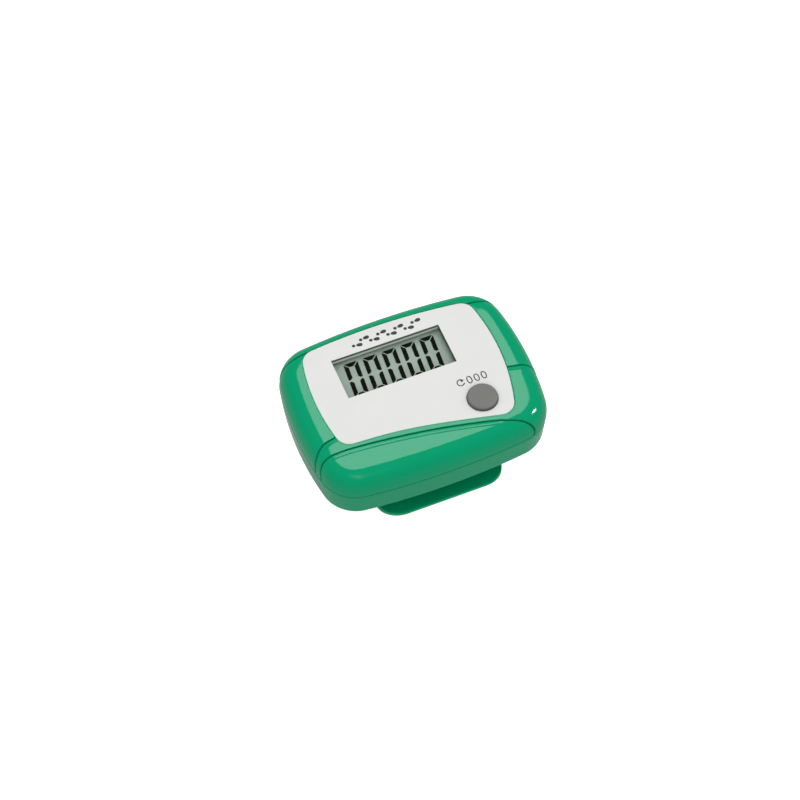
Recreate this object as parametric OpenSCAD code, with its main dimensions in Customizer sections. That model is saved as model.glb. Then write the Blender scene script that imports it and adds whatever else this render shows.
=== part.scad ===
// Clip-on step counter, lying face up on its belt clip.
// X runs across the display, Y towards its top edge and Z out of the face.
// The origin is under the middle of the body, on the surface that the clip rests on.

/* [Body] */
// Width of the body at the parting line
body_w = 50; // [46:0.5:58]
// Height of the body at the parting line
body_h = 37.6; // [36.6:0.2:46]
// Depth of the parting line below the face
parting_d = 4.7; // [4.2:0.1:5.4]
// Bulge radius of the left and right edges
side_r = 67; // [55:1:120]
// Bulge radius of the top and bottom edges
end_r = 157; // [110:1:300]
// Corner radius seen from the front
corner_r = 7.9; // [7:0.1:9]
// Width of the rounded edge at the left and right of the face
edge_run_x = 3.6; // [3.2:0.1:4.2]
// Width of the rounded edge at the top and bottom of the face
edge_run_y = 3.9; // [3.4:0.1:4.2]
// Bulge radius of the flat face's left and right edges
face_side_r = 73; // [60:1:130]
// Bulge radius of the flat face's top and bottom edges
face_end_r = 184; // [120:1:320]
// Corner radius of the flat face
face_corner_r = 4.4; // [4:0.1:5]
// Draft of the back shell between the parting line and its rounded edge
back_draft = 0.4; // [0.2:0.1:0.8]
// Radius of the rounded edge of the back
back_edge_r = 1.3; // [0.8:0.1:1.5]
// Wall thickness of the sides
side_wall = 1.5; // [1.2:0.1:2]
// Wall thickness of the front
front_wall = 1.4; // [1.3:0.1:2]
// Wall thickness of the back
back_wall = 1.5; // [1.5:0.1:1.8]
// Height of the lip that locates the two shells
lip_h = 1; // [0.6:0.1:1.2]

/* [Face plate] */
// Distance from the side of the flat face to the plate
plate_margin = 2; // [1.6:0.1:3]
// How far the top of the plate runs past the flat face
plate_rise = 1; // [0.4:0.1:1.2]
// Bulge radius of the plate's left and right edges
plate_side_r = 46; // [40:1:80]
// Bulge radius of the plate's top edge
plate_top_r = 135; // [100:1:200]
// Height of the plate's lower edge at its left end
plate_low_y = -7.7; // [-8.5:0.1:-7]
// Fall of the plate's lower edge towards its right end
plate_slope = 0.26; // [0.2:0.01:0.3]
// Corner radius of the plate
plate_corner_r = 2.9; // [2:0.1:3.5]
// Thickness of the plate
plate_t = 0.6; // [0.4:0.05:0.7]
// Thickness of the adhesive under the plate
adhesive_t = 0.1; // [0.05:0.05:0.15]

/* [Display] */
// Width of the window
window_w = 23.2; // [21:0.1:24]
// Height of the window
window_h = 9.5; // [8.9:0.1:9.6]
// Place of the window's middle across the body
window_x = -1.3; // [-2:0.1:0]
// Distance from the plate's top edge down to the window
window_drop = 4.5; // [4.4:0.05:5.2]
// How far the glass reaches past the window
glass_margin = 1.4; // [1.2:0.1:1.5]
// Thickness of each glass
glass_t = 0.5; // [0.4:0.1:0.8]
// Thickness of each polarising film
film_t = 0.15; // [0.1:0.05:0.3]
// Gap between the two glasses
glass_gap = 0.1; // [0.05:0.01:0.15]
// Number of digits
digit_count = 5; // [3:1:5]
// Pitch of the digits
digit_pitch = 4.1; // [3.8:0.1:4.2]
// Width of a digit
digit_w = 3; // [2.6:0.1:3.2]
// Height of a digit
digit_h = 8.2; // [7:0.1:8.3]
// Width of a digit's stroke
stroke_w = 1.05; // [0.7:0.05:1.2]
// Distance of the digits' middle to the right of the window's middle
digits_right = 0.15; // [0:0.05:0.3]
// Distance of the digits' middle above the window's middle
digits_up = 0.1; // [0:0.05:0.4]

/* [Reset button] */
// Radius of the button
button_r = 3.1; // [2.8:0.05:3.4]
// Place of the button's middle across the body
button_x = 11.6; // [10.5:0.1:12]
// Place of the button's middle along the body
button_y = -8.1; // [-8.8:0.1:-7.8]
// How far the button stands out of the face
button_proud = 0.8; // [0.7:0.1:1]
// Travel of the button
button_travel = 0.7; // [0.4:0.1:0.9]
// Thickness of the button's flange
flange_t = 0.8; // [0.6:0.1:1]

/* [Board and battery] */
// Distance from the cavity's wall to the board's edge
board_margin = 2.5; // [2:0.1:3]
// Thickness of the board
board_t = 1; // [0.8:0.1:1.2]
// Space between the display's back and the board
display_room = 2.6; // [2:0.1:3]
// Diameter of the button cell
cell_d = 11.6; // [9.5:0.1:11.6]
// Thickness of the button cell
cell_t = 3.05; // [2.9:0.05:4.2]
// Place of the cell's middle across the body
cell_x = -7; // [-8:0.1:-7]
// Space between the cell and the board for the spring finger
finger_room = 0.65; // [0.5:0.05:1]
// Thickness of the battery door
door_t = 1.2; // [1:0.1:1.2]
// Width of the ledge beside the cell that the door covers
door_ledge = 1.5; // [1.2:0.1:1.7]
// Travel of the battery door before it lifts off
door_travel = 3; // [2.4:0.1:3.2]

/* [Pendulum] */
// Length of the pendulum from its pin to the middle of its weight
pendulum_len = 12.4; // [11:0.1:12.6]
// Radius of the weight
weight_r = 3; // [2.2:0.1:3]
// Greatest swing each way, in degrees
swing = 7; // [4:0.5:8]
// Radius of the pendulum's pin
pivot_r = 0.5; // [0.4:0.05:0.6]

/* [Belt clip] */
// Width of the clip
clip_w = 27; // [24:0.2:32]
// Thickness of the clip's plate
clip_t = 1.8; // [1.4:0.1:2.2]
// Gap between the clip and the back, for the belt
belt_gap = 4.6; // [4.4:0.1:6]
// Corner radius of the clip's tip
tip_corner_r = 5; // [3:0.1:6]
// Rise of the clip's tip above the flat part
tip_rise = 1.9; // [1:0.1:2]
// Thickness of the clip at its tip
tip_t = 0.8; // [0.7:0.1:1.4]
// Place of the hinge pin along the body
hinge_y = 8.2; // [7.5:0.1:9]
// Radius of the hinge pin
pin_r = 0.9; // [0.7:0.05:1]
// Radius of the hinge ears
ear_r = 2; // [1.7:0.1:2.1]
// Thickness of each hinge ear
ear_t = 2; // [1.5:0.1:2.5]
// Wire radius of the torsion spring
wire_r = 0.35; // [0.25:0.05:0.4]
// Greatest opening of the clip, in degrees
clip_open = 20; // [16:1:23]

/* [Fits] */
// Clearance of a moving fit
run_gap = 0.08; // [0.05:0.01:0.1]
// Clearance of a fixed fit
fit_gap = 0.1; // [0.05:0.01:0.15]

/* [Hidden] */
$fn = 64;

case_green = [0.04, 0.62, 0.42];
plate_white = [0.91, 0.91, 0.90];
button_grey = [0.50, 0.50, 0.49];
film_grey = [0.60, 0.66, 0.61];
ink_black = [0.05, 0.05, 0.05];
board_green = [0.10, 0.32, 0.18];
steel = [0.75, 0.76, 0.78];
gold = [0.83, 0.68, 0.32];

// Levels, from the surface that the clip rests on up to the face
back_z = clip_t + belt_gap;
floor_z = back_z + back_wall;
door_top = back_z + door_t;
cell_low = door_top + fit_gap;
cell_top = cell_low + cell_t;
board_low = cell_top + finger_room;
board_top = board_low + board_t;
reflector_low = board_top + display_room;
rear_glass_low = reflector_low + film_t;
seal_low = rear_glass_low + glass_t;
front_glass_low = seal_low + glass_gap;
film_low = front_glass_low + glass_t;
ceiling_z = film_low + film_t;
face_z = ceiling_z + front_wall;
parting_z = face_z - parting_d;
edge_z = back_z + back_edge_r;
past = 1;

// Half sizes of the body, its flat face and its cavity
half_w = body_w / 2;
half_h = body_h / 2;
face_half_w = half_w - edge_run_x;
face_half_h = half_h - edge_run_y;
cavity_half_w = half_w - side_wall;
cavity_half_h = half_h - side_wall;
ceiling_inset = 0.4;
edge_power = 2.38;
side_steps = 4;
corner_steps = 8;
end_steps = 5;
edge_steps = 6;
fillet_steps = 4;
lip_t = side_wall / 2 - fit_gap;

// Face plate and window
plate_top_y = face_half_h + plate_rise;
plate_half_w = face_half_w - plate_margin;
plate_mid_x = -2.2;
plate_mid_y = 3;
bend_x = -6;
bend_w = 10;
recess_z = face_z - plate_t - adhesive_t;
window_y = plate_top_y - window_drop - window_h / 2;
glass_w = window_w + 2 * glass_margin;
view_h = window_h + 2 * glass_margin;
ledge_h = 2;
glass_h = view_h + ledge_h;
glass_y = window_y - ledge_h / 2;
zebra_y = window_y - view_h / 2 - ledge_h / 2;
frame_wall = 0.8;
zebra_t = ledge_h - 2 * fit_gap;
zebra_inset = 1;
film_inset = 0.5;
seal_w = 0.5;
shelf_w = 1.5;
lean = tan(4.5);
cut_gap = 0.16;

// Button, rubber key and pill
flange_r = button_r + 0.8;
flange_low = ceiling_z - flange_t;
button_top = face_z + button_proud;
button_round = 0.5;
pad_t = 0.05;
pill_r = 1.4;
pill_t = 0.4;
pill_low = board_top + pad_t + button_travel;
key_base_r = 4;
key_base_t = 0.6;
plunger_r = 2.2;
skirt_r = 3.4;
skirt_t = 0.5;

// Board, posts and screws
board_half_w = cavity_half_w - board_margin;
board_half_h = cavity_half_h - board_margin;
board_corner_r = 2;
boss_r = 2;
boss_inset = 4.4;
boss_x = cavity_half_w - boss_inset;
boss_y = cavity_half_h - boss_inset;
case_screw_r = 1;
case_head_r = 1.65;
case_head_t = 1.3;
head_sink = 0.3;
case_screw_len = 6.6;
post_r = 1.6;
post_inset = 2.8;
post_x = board_half_w - post_inset;
post_high_y = 5.4;
post_low_inset = 5.8;
post_low_y = post_low_inset - board_half_h;
board_screw_r = 0.7;
board_head_r = 1.4;
board_head_t = 0.8;
board_screw_len = 3.6;
thread_bite = 0.06;

// Chip, crystal and small parts under the display
blob_r = 3.6;
blob_h = 1.3;
crystal_r = 1;
crystal_len = 6;
crystal_x = window_x - blob_r - crystal_len - 2.9;
crystal_y = window_y + 2;
lead_r = 0.15;
lead_len = 2;
lead_off = 0.4;
part_w = 1.6;
part_h = 0.8;
part_t = 0.6;
parts_off = blob_r + 2.9;
part_pitch = 2.2;
row_pitch = 2;

// Battery room and door
cell_r = cell_d / 2;
cell_play = 0.3;
cell_room_r = cell_r + cell_play;
room_wall = 0.9;
door_half = cell_room_r + door_ledge;
recess_margin = 2.4;
cell_y = -cavity_half_h + recess_margin + door_travel + fit_gap + door_half;
cap_r = cell_r - 0.9;
cap_h = 0.4;
door_corner_r = 1;
tab_w = 0.6;
tab_t = 0.4;
tab_len = 2.4;
tab_low = back_z + (door_t - tab_t) / 2;
shelf_t = 0.9;
contact_t = 0.25;
contact_w = 3;

// Pendulum
weight_gap = 2.6;
pivot_x = cell_x + cell_room_r + room_wall + weight_gap + weight_r + pendulum_len;
pivot_y = (post_high_y + post_low_y) / 2;
arm_t = 0.8;
arm_w = 1.6;
hub_r = 1.4;
swing_room = 0.4;
arm_top = board_low - swing_room;
arm_low = arm_top - arm_t;
weight_low = floor_z + swing_room;
hub_low = arm_low - 0.4;
hub_top = arm_top + 0.2;
retainer_top = hub_low - run_gap;
rivet_r = 1;
retainer_t = 0.25;
retainer_r = 1.2;
stop_at = 6;
stop_r = 0.5;
sleeve_r = 1;
stop_off = (arm_w / 2 + sleeve_r + stop_at * sin(swing)) / cos(swing) + run_gap;
hair_at = 8.4;
hair_r = 0.5;
hair_wire_r = 0.1;
hair_post_off = 6.2;
wire_at = 3.6;
contact_wire_r = 0.15;
wire_off = (arm_w / 2 + contact_wire_r + wire_at * sin(swing)) / cos(swing) + run_gap;

// Belt clip and hinge: at its full opening the lever's end meets the back
tip_inset = 0.3;
tip_y = tip_inset - half_h;
tip_run = 9.5;
tip_flat_y = tip_y + tip_run;
lever_inset = 2.2;
lever_y = half_h - lever_inset;
lever_run = 5.6;
lever_flat_y = lever_y - lever_run;
lever_corner_r = 6;
pin_z = back_z - belt_gap / 2;
lever_reach = lever_y - hinge_y;
lever_drop = (lever_reach * sin(clip_open) - belt_gap / 2 + fit_gap) / cos(clip_open);
lever_rise = pin_z - clip_t - lever_drop;
ear_gap = 10;
ear_x = ear_gap / 2;
lug_x = ear_x + ear_t + 2 * run_gap;
pin_half = lug_x + ear_t;
coil_r = pin_r + wire_r + 0.25;
coil_half = ear_x - wire_r - 0.5;
coil_turns = 5.5;
leg_len = 6;
ridge_y = tip_y + 5.1;
ridge_r = 0.8;
ridge_half = clip_w / 2 - 3.4;

// Shape functions

// Middle of the corner arc that joins two bulged edges
function corner_mid(a, b, rs, re, rc) =
    let (c1 = [a - rs, 0])
    let (c2 = [0, b - re])
    let (r1 = rs - rc)
    let (r2 = re - rc)
    let (d = norm(c2 - c1))
    let (u = (c2 - c1) / d)
    let (m = (r1 * r1 - r2 * r2 + d * d) / (2 * d))
    let (h = sqrt(r1 * r1 - m * m))
    c1 + m * u + h * [-u.y, u.x];

// A quarter of a bulged outline, from the right edge to the top edge
function quarter(a, b, rs, re, rc) =
    let (k = corner_mid(a, b, rs, re, rc))
    let (t1 = atan2(k.y, k.x - a + rs))
    let (t2 = atan2(k.y - b + re, k.x))
    concat(
        [for (i = [0:side_steps - 1]) [a - rs, 0] + rs * unit(t1 * i / side_steps)],
        [for (i = [0:corner_steps - 1]) k + rc * unit(t1 + (t2 - t1) * i / corner_steps)],
        [for (i = [0:end_steps]) [0, b - re] + re * unit(t2 + (90 - t2) * i / end_steps)]
    );

// The point at an angle on the unit circle
function unit(t) = [cos(t), sin(t)];

// The whole outline, counter-clockwise, from its first quarter
function whole(q) =
    let (n = len(q))
    concat(
        q,
        [for (i = [n - 2:-1:0]) [-q[i].x, q[i].y]],
        [for (i = [1:n - 1]) [-q[i].x, -q[i].y]],
        [for (i = [n - 2:-1:1]) [q[i].x, -q[i].y]]
    );

// The body's outline at the parting line, moved in by e
function parting_line(e) = whole(quarter(half_w - e, half_h - e, side_r - e, end_r - e, corner_r - e));

// The outline of the flat face, moved in by e
function face_line(e) =
    whole(quarter(face_half_w - e, face_half_h - e, face_side_r - e, face_end_r - e, face_corner_r - e));

// A flat outline lifted to a height
function lifted(line, z) = [for (p = line) [p.x, p.y, z]];

// One ring of the rounded front edge: t is 0 at the parting line and 90 at the face
function edge_ring(face, base, t, low, high) =
    let (out = pow(cos(t), 2 / edge_power))
    let (up = pow(sin(t), 2 / edge_power))
    lifted([for (i = [0:len(face) - 1]) face[i] + (base[i] - face[i]) * out], low + (high - low) * up);

// A bend of a strip's lower or upper side: middle, radius and angles
function bend(mid, r, a, b, steps) = [for (i = [0:steps]) mid + r * unit(a + (b - a) * i / steps)];

// Solid through a list of rings, from the lowest to the highest
module loft(rings) {
    n = len(rings[0]);
    m = len(rings);
    polyhedron(
        points = [for (r = rings) each r],
        faces = concat(
            [[for (i = [0:n - 1]) i]],
            [for (j = [0:m - 2], i = [0:n - 1]) [
                j * n + i, (j + 1) * n + i, (j + 1) * n + (i + 1) % n, j * n + (i + 1) % n
            ]],
            [[for (i = [n - 1:-1:0]) (m - 1) * n + i]]
        ),
        convexity = 8
    );
}

// Tube of a wire that follows a path, with its rings set square to it
module wire(path, r, sides) {
    n = len(path);
    rings = [for (i = [0:n - 1])
        let (d = path[min(i + 1, n - 1)] - path[max(i - 1, 0)])
        let (t = d / norm(d))
        let (side = cross(t, [1, 1, 0]))
        let (u = side / norm(side))
        let (v = cross(t, u))
        [for (k = [0:sides - 1]) path[i] + r * (u * sin(k * 360 / sides) + v * cos(k * 360 / sides))]
    ];
    loft(rings);
}

// Box given by its middle across X and Y, its size and its lowest level
module slab(x, y, w, h, low, high) {
    translate([x - w / 2, y - h / 2, low])
        cube([w, h, high - low]);
}

// Upright cylinder between two levels
module post(x, y, r, low, high) {
    translate([x, y, low])
        cylinder(r = r, h = high - low);
}

// Cylinder along X
module axle(x, y, z, r, len) {
    translate([x, y, z])
        rotate([0, 90, 0])
            cylinder(r = r, h = len);
}

// Copies of a child at the four case screws
module at_case_screws() {
    for (x = [-boss_x, boss_x], y = [-boss_y, boss_y])
        translate([x, y, 0])
            children();
}

// Copies of a child at the four board screws
module at_board_screws() {
    for (x = [-post_x, post_x], y = [post_low_y, post_high_y])
        translate([x, y, 0])
            children();
}

// Outer form of the front shell above the parting line
module front_form() {
    loft(concat(
        [lifted(parting_line(0), parting_z)],
        [for (i = [1:edge_steps]) edge_ring(
            face_line(0), parting_line(0), i * 90 / edge_steps, parting_z, face_z
        )]
    ));
}

// Cavity of the front shell
module front_cavity() {
    loft(concat(
        [lifted(parting_line(side_wall), parting_z - past)],
        [for (i = [0:2:edge_steps]) edge_ring(
            face_line(ceiling_inset), parting_line(side_wall), i * 90 / edge_steps, parting_z, ceiling_z
        )]
    ));
}

// Outer form of the back shell below the parting line
module back_form() {
    loft(concat(
        [for (i = [0:fillet_steps])
            let (t = 90 - i * 90 / fillet_steps)
            lifted(parting_line(back_draft + back_edge_r * (1 - cos(t))), edge_z - back_edge_r * sin(t))
        ],
        [lifted(parting_line(0), parting_z)]
    ));
}

// Face plate's outline, grown by e: bulged sides and top over a falling lower edge
module plate_outline(e) {
    rim = plate_corner_r + e;
    offset(r = rim)
        offset(delta = -plate_corner_r)
            intersection() {
                translate([plate_half_w - plate_side_r, plate_mid_y])
                    circle(r = plate_side_r, $fn = 180);
                translate([plate_side_r - plate_half_w, plate_mid_y])
                    circle(r = plate_side_r, $fn = 180);
                translate([plate_mid_x, plate_top_y - plate_top_r])
                    circle(r = plate_top_r, $fn = 360);
                polygon(concat(
                    [for (x = [-half_w:2:half_w]) [x, lower_edge(x)]],
                    [[half_w, half_h], [-half_w, half_h]]
                ));
            }
}

// Height of the plate's lower edge, level at the left and falling to the right
function lower_edge(x) =
    let (u = x - bend_x)
    plate_low_y - plate_slope * (u + sqrt(u * u + bend_w * bend_w)) / 2;

// Sheet of the plate's outline, grown by e, between two levels
module plate_sheet(e, low, high) {
    translate([0, 0, low])
        linear_extrude(high - low)
            plate_outline(e);
}

// Places of the door's tabs along its sides
tab_places = [cell_y - door_half / 2, cell_y + door_half / 2];

// Body of the door, grown by g at its sides and by room at its tail
module door_plate(g, room, low, high) {
    translate([cell_x, cell_y - room / 2, low])
        linear_extrude(high - low)
            rounded_rect(door_half + g, door_half + g + room / 2, door_corner_r + g);
}

// The door's side tabs, grown by g and lengthened towards the tail by room
module door_tabs(g, room) {
    for (y = tab_places)
        slab(
            cell_x, y - room / 2, 2 * (door_half + tab_w + g), tab_len + room + 2 * g,
            tab_low - g, tab_low + tab_t + g
        );
}

// Recess that the door lies, slides and lifts off in
module door_room() {
    door_plate(fit_gap, door_travel, back_z - past, door_top + fit_gap);
    door_tabs(fit_gap, door_travel);
    for (y = tab_places)
        slab(
            cell_x, y - door_travel, 2 * (door_half + tab_w + fit_gap), tab_len + 4 * fit_gap,
            back_z - past, tab_low + tab_t + fit_gap
        );
}

// A bar at the outside of a digit: long outer side, bevelled inner side
module outer_segment(len) {
    w = stroke_w;
    polygon([[0, 0], [w, w], [w, len - w / 2], [w / 2, len], [0, len]]);
}

// The figure 0 in six segments, about its middle
module zero_digit() {
    multmatrix([[1, lean, 0, 0], [0, 1, 0, 0], [0, 0, 1, 0], [0, 0, 0, 1]]) {
        for (sx = [-1, 1], sy = [-1, 1])
            scale([sx, sy])
                translate([-digit_w / 2, -digit_h / 2 + cut_gap])
                    outer_segment(digit_h / 2 - 2 * cut_gap);
        for (sy = [-1, 1])
            scale([1, sy])
                translate([0, -digit_h / 2])
                    polygon([
                        [-digit_w / 2 + cut_gap, 0],
                        [digit_w / 2 - cut_gap, 0],
                        [digit_w / 2 - cut_gap - stroke_w, stroke_w],
                        [-digit_w / 2 + cut_gap + stroke_w, stroke_w]
                    ]);
    }
}

// Sub-parts

module front_case() {
    color(case_green)
        difference() {
            union() {
                difference() {
                    front_form();
                    front_cavity();
                    translate([0, 0, parting_z - past])
                        linear_extrude(lip_h + fit_gap + past)
                            polygon(parting_line(side_wall - lip_t - fit_gap));
                }
                intersection() {
                    front_form();
                    at_case_screws()
                        post(0, 0, boss_r, parting_z, ceiling_z + past);
                }
                at_board_screws()
                    post(0, 0, post_r, board_top, ceiling_z);
            }
            plate_sheet(fit_gap, recess_z, face_z + past);
            slab(window_x, window_y, window_w, window_h, ceiling_z - past, face_z);
            post(button_x, button_y, button_r + run_gap, ceiling_z - past, face_z);
            at_case_screws()
                post(0, 0, case_screw_r - thread_bite, parting_z - past, case_tip_z + fit_gap);
            at_board_screws()
                post(0, 0, board_screw_r - thread_bite, board_top - past, board_tip_z + fit_gap);
        }
}

// Seats and tips of the screws
case_seat_z = back_z + head_sink + case_head_t;
case_tip_z = case_seat_z + case_screw_len;
board_tip_z = board_low + board_screw_len;

module back_case() {
    color(case_green)
        difference() {
            union() {
                difference() {
                    back_form();
                    translate([0, 0, floor_z])
                        linear_extrude(parting_z - floor_z + past)
                            polygon(parting_line(side_wall));
                }
                translate([0, 0, floor_z])
                    linear_extrude(parting_z - floor_z + lip_h)
                        difference() {
                            polygon(parting_line(side_wall - lip_t));
                            polygon(parting_line(side_wall));
                        }
                at_case_screws()
                    post(0, 0, boss_r, floor_z - past / 2, parting_z);
                door_plate(tab_w + room_wall, door_travel, floor_z - past / 2, door_top + fit_gap + shelf_t);
                post(cell_x, cell_y, cell_room_r + room_wall, floor_z - past / 2, cell_top - cap_h);
                for (s = [-1, 1])
                    ear(s > 0 ? ear_x : -ear_x - ear_t, back_z + past / 2);
            }
            door_room();
            post(cell_x, cell_y, cell_room_r, back_z - past, cell_top + past);
            slab(
                cell_x, cell_y + cell_room_r + room_wall / 2, contact_w + 2 * fit_gap,
                room_wall + 4 * contact_t, contact_low - fit_gap, cell_top + past
            );
            at_case_screws() {
                post(0, 0, case_head_r + fit_gap, back_z - past, case_seat_z);
                post(0, 0, case_screw_r + fit_gap, back_z - past, parting_z + past);
            }
            axle(-pin_half, hinge_y, pin_z, pin_r + run_gap, 2 * pin_half);
        }
}

// One hinge ear of the back, from the pin up to a level
module ear(x, high) {
    axle(x, hinge_y, pin_z, ear_r, ear_t);
    translate([x, hinge_y - ear_r, pin_z])
        cube([ear_t, 2 * ear_r, high - pin_z]);
}

module face_plate() {
    color(plate_white)
        difference() {
            plate_sheet(0, recess_z + adhesive_t, face_z);
            slab(window_x, window_y, window_w, window_h, recess_z - past, face_z + past);
            post(button_x, button_y, button_r + run_gap, recess_z - past, face_z + past);
        }
}

module plate_adhesive() {
    color([0.85, 0.83, 0.75])
        difference() {
            plate_sheet(-fit_gap, recess_z, recess_z + adhesive_t);
            slab(
                window_x, window_y, glass_w, view_h,
                recess_z - past, face_z
            );
            post(button_x, button_y, flange_r, recess_z - past, face_z);
        }
}

module reset_button() {
    color(button_grey)
        translate([button_x, button_y, 0])
            rotate_extrude()
                polygon(concat(
                    [[0, flange_low], [flange_r, flange_low], [flange_r, ceiling_z], [button_r, ceiling_z]],
                    bend([button_r - button_round, button_top - button_round], button_round, 0, 90, 6),
                    [[0, button_top]]
                ));
}

module rubber_key() {
    roof = pill_low + pill_t;
    color([0.85, 0.85, 0.83])
        translate([button_x, button_y, 0])
            rotate_extrude()
                polygon([
                    [0, roof],
                    [pill_r + 0.2, roof],
                    [skirt_r - skirt_t, board_top],
                    [key_base_r, board_top],
                    [key_base_r, board_top + key_base_t],
                    [skirt_r, board_top + key_base_t],
                    [plunger_r, roof + skirt_t],
                    [plunger_r, flange_low],
                    [0, flange_low]
                ]);
}

module carbon_pill() {
    color([0.12, 0.12, 0.12])
        post(button_x, button_y, pill_r, pill_low, pill_low + pill_t);
}

module key_contacts() {
    color(gold)
        difference() {
            post(button_x, button_y, pill_r, board_top, board_top + pad_t);
            slab(button_x, button_y, 0.4, 2 * pill_r + past, board_top - past, board_top + past);
        }
}

module lcd_polarizer() {
    color(film_grey)
        slab(window_x, window_y, glass_w - 2 * film_inset, view_h - 2 * film_inset, film_low, ceiling_z);
}

module lcd_front_glass() {
    color([0.80, 0.88, 0.85, 0.5])
        slab(window_x, glass_y, glass_w, glass_h, front_glass_low, film_low);
}

module lcd_seal() {
    color([0.75, 0.75, 0.70])
        difference() {
            slab(window_x, window_y, glass_w, view_h, seal_low, front_glass_low);
            slab(window_x, window_y, glass_w - 2 * seal_w, view_h - 2 * seal_w, seal_low - past, film_low);
        }
}

module lcd_segments() {
    color(ink_black)
        translate([window_x + digits_right, window_y + digits_up, seal_low])
            linear_extrude(glass_gap)
                for (i = [0:digit_count - 1])
                    translate([(i - (digit_count - 1) / 2) * digit_pitch, 0])
                        zero_digit();
}

module lcd_rear_glass() {
    color([0.80, 0.88, 0.85, 0.5])
        slab(window_x, window_y, glass_w, view_h, rear_glass_low, seal_low);
}

module lcd_reflector() {
    color([0.70, 0.74, 0.70])
        slab(
            window_x, window_y, glass_w - 2 * film_inset, view_h - 2 * film_inset,
            reflector_low, rear_glass_low
        );
}

module lcd_frame() {
    inner_w = glass_w + 2 * fit_gap;
    inner_h = glass_h + 2 * fit_gap;
    color([0.93, 0.93, 0.91])
        difference() {
            slab(
                window_x, glass_y, inner_w + 2 * frame_wall, inner_h + 2 * frame_wall,
                board_top, ceiling_z - fit_gap
            );
            slab(window_x, glass_y, inner_w, inner_h, reflector_low, ceiling_z);
            slab(
                window_x, window_y, glass_w - 2 * shelf_w, view_h - 2 * shelf_w,
                board_top - past, ceiling_z
            );
            slab(
                window_x, zebra_y, glass_w - 2 * zebra_inset + 2 * fit_gap,
                zebra_t + fit_gap, board_top - past, ceiling_z
            );
        }
}

module zebra_strip() {
    color([0.95, 0.55, 0.60])
        slab(
            window_x, zebra_y, glass_w - 2 * zebra_inset, zebra_t - fit_gap,
            board_top, front_glass_low
        );
}

module circuit_board() {
    color(board_green)
        difference() {
            translate([0, 0, board_low])
                linear_extrude(board_t)
                    rounded_rect(board_half_w, board_half_h, board_corner_r);
            at_case_screws()
                post(0, 0, boss_r + 4 * fit_gap, board_low - past, board_top + past);
            at_board_screws()
                post(0, 0, board_screw_r + fit_gap, board_low - past, board_top + past);
            post(pivot_x, pivot_y, pivot_r, board_low - past, board_top + past);
        }
}

// Rectangle with round corners, from its half sizes
module rounded_rect(a, b, r) {
    polygon([for (s = [[1, 1, 0], [-1, 1, 90], [-1, -1, 180], [1, -1, 270]], i = [0:6])
        [s.x * (a - r), s.y * (b - r)] + r * unit(s[2] + i * 15)
    ]);
}

module board_screws() {
    color(steel)
        at_board_screws()
            difference() {
                union() {
                    post(0, 0, board_screw_r, board_low, board_tip_z);
                    post(0, 0, board_head_r, board_low - board_head_t, board_low);
                }
                cross_slot(board_head_r, board_low - board_head_t, 0.4);
            }
}

// Cross recess in the underside of a screw head
module cross_slot(r, low, deep) {
    for (a = [0, 90])
        rotate([0, 0, a])
            slab(0, 0, 1.3 * r, 0.28 * r, low - past, low + deep);
}

module chip_blob() {
    ball_r = (blob_r * blob_r + blob_h * blob_h) / (2 * blob_h);
    color([0.08, 0.08, 0.09])
        intersection() {
            translate([window_x, window_y, board_low - blob_h + ball_r])
                sphere(r = ball_r);
            slab(window_x, window_y, 3 * blob_r, 3 * blob_r, board_low - blob_h, board_low);
        }
}

module crystal() {
    color(steel)
        union() {
            axle(crystal_x, crystal_y, board_low - crystal_r, crystal_r, crystal_len);
            for (s = [-1, 1])
                axle(
                    crystal_x + crystal_len, crystal_y + s * lead_off, board_low - 2 * lead_r,
                    lead_r, lead_len
                );
        }
}

module chip_parts() {
    color([0.72, 0.62, 0.45])
        for (i = [0:4])
            slab(
                window_x + parts_off + part_pitch * i, window_y + (i % 2) * row_pitch,
                part_w, part_h, board_low - part_t, board_low
            );
}

module button_cell() {
    color(steel)
        translate([cell_x, cell_y, 0])
            rotate_extrude()
                polygon([
                    [0, cell_low],
                    [cell_r - 0.4, cell_low],
                    [cell_r, cell_low + 0.4],
                    [cell_r, cell_top - cap_h - 0.2],
                    [cell_r - 0.3, cell_top - cap_h],
                    [cap_r, cell_top - cap_h],
                    [cap_r - 0.2, cell_top],
                    [0, cell_top]
                ]);
}

// Lowest level of the contact on the cell's rim
contact_low = cell_low + 1;

module cell_contact_plus() {
    rim_y = cell_y + cell_r;
    foot_len = 2.2;
    color(gold)
        union() {
            slab(cell_x, rim_y + contact_t / 2, contact_w, contact_t, contact_low, board_low);
            slab(cell_x, rim_y + foot_len / 2, contact_w, foot_len, board_low - contact_t, board_low);
        }
}

module cell_contact_minus() {
    foot_from = -3;
    foot_to = -1;
    touch_from = 1.2;
    touch_to = 2.2;
    toe_to = 3;
    toe_rise = 0.2;
    skew = 0.1;
    color(gold)
        translate([cell_x, cell_y + contact_w / 2, 0])
            rotate([90, 0, 0])
                linear_extrude(contact_w)
                    polygon([
                        [foot_from, board_low],
                        [foot_from, board_low - contact_t],
                        [foot_to, board_low - contact_t],
                        [touch_from, cell_top],
                        [touch_to, cell_top],
                        [toe_to, cell_top + toe_rise],
                        [toe_to, cell_top + toe_rise + contact_t],
                        [touch_to - skew, cell_top + contact_t],
                        [touch_from + skew, cell_top + contact_t],
                        [foot_to + skew, board_low]
                    ]);
}

module battery_door() {
    groove_r = 0.3;
    groove_half = 4;
    groove_pitch = 1.2;
    tail_y = cell_y - door_half;
    color(case_green)
        difference() {
            union() {
                door_plate(0, 0, back_z, door_top);
                door_tabs(0, 0);
            }
            for (i = [0:3])
                axle(
                    cell_x - groove_half, tail_y + (i + 1) * groove_pitch, back_z,
                    groove_r, 2 * groove_half
                );
        }
}

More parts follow.
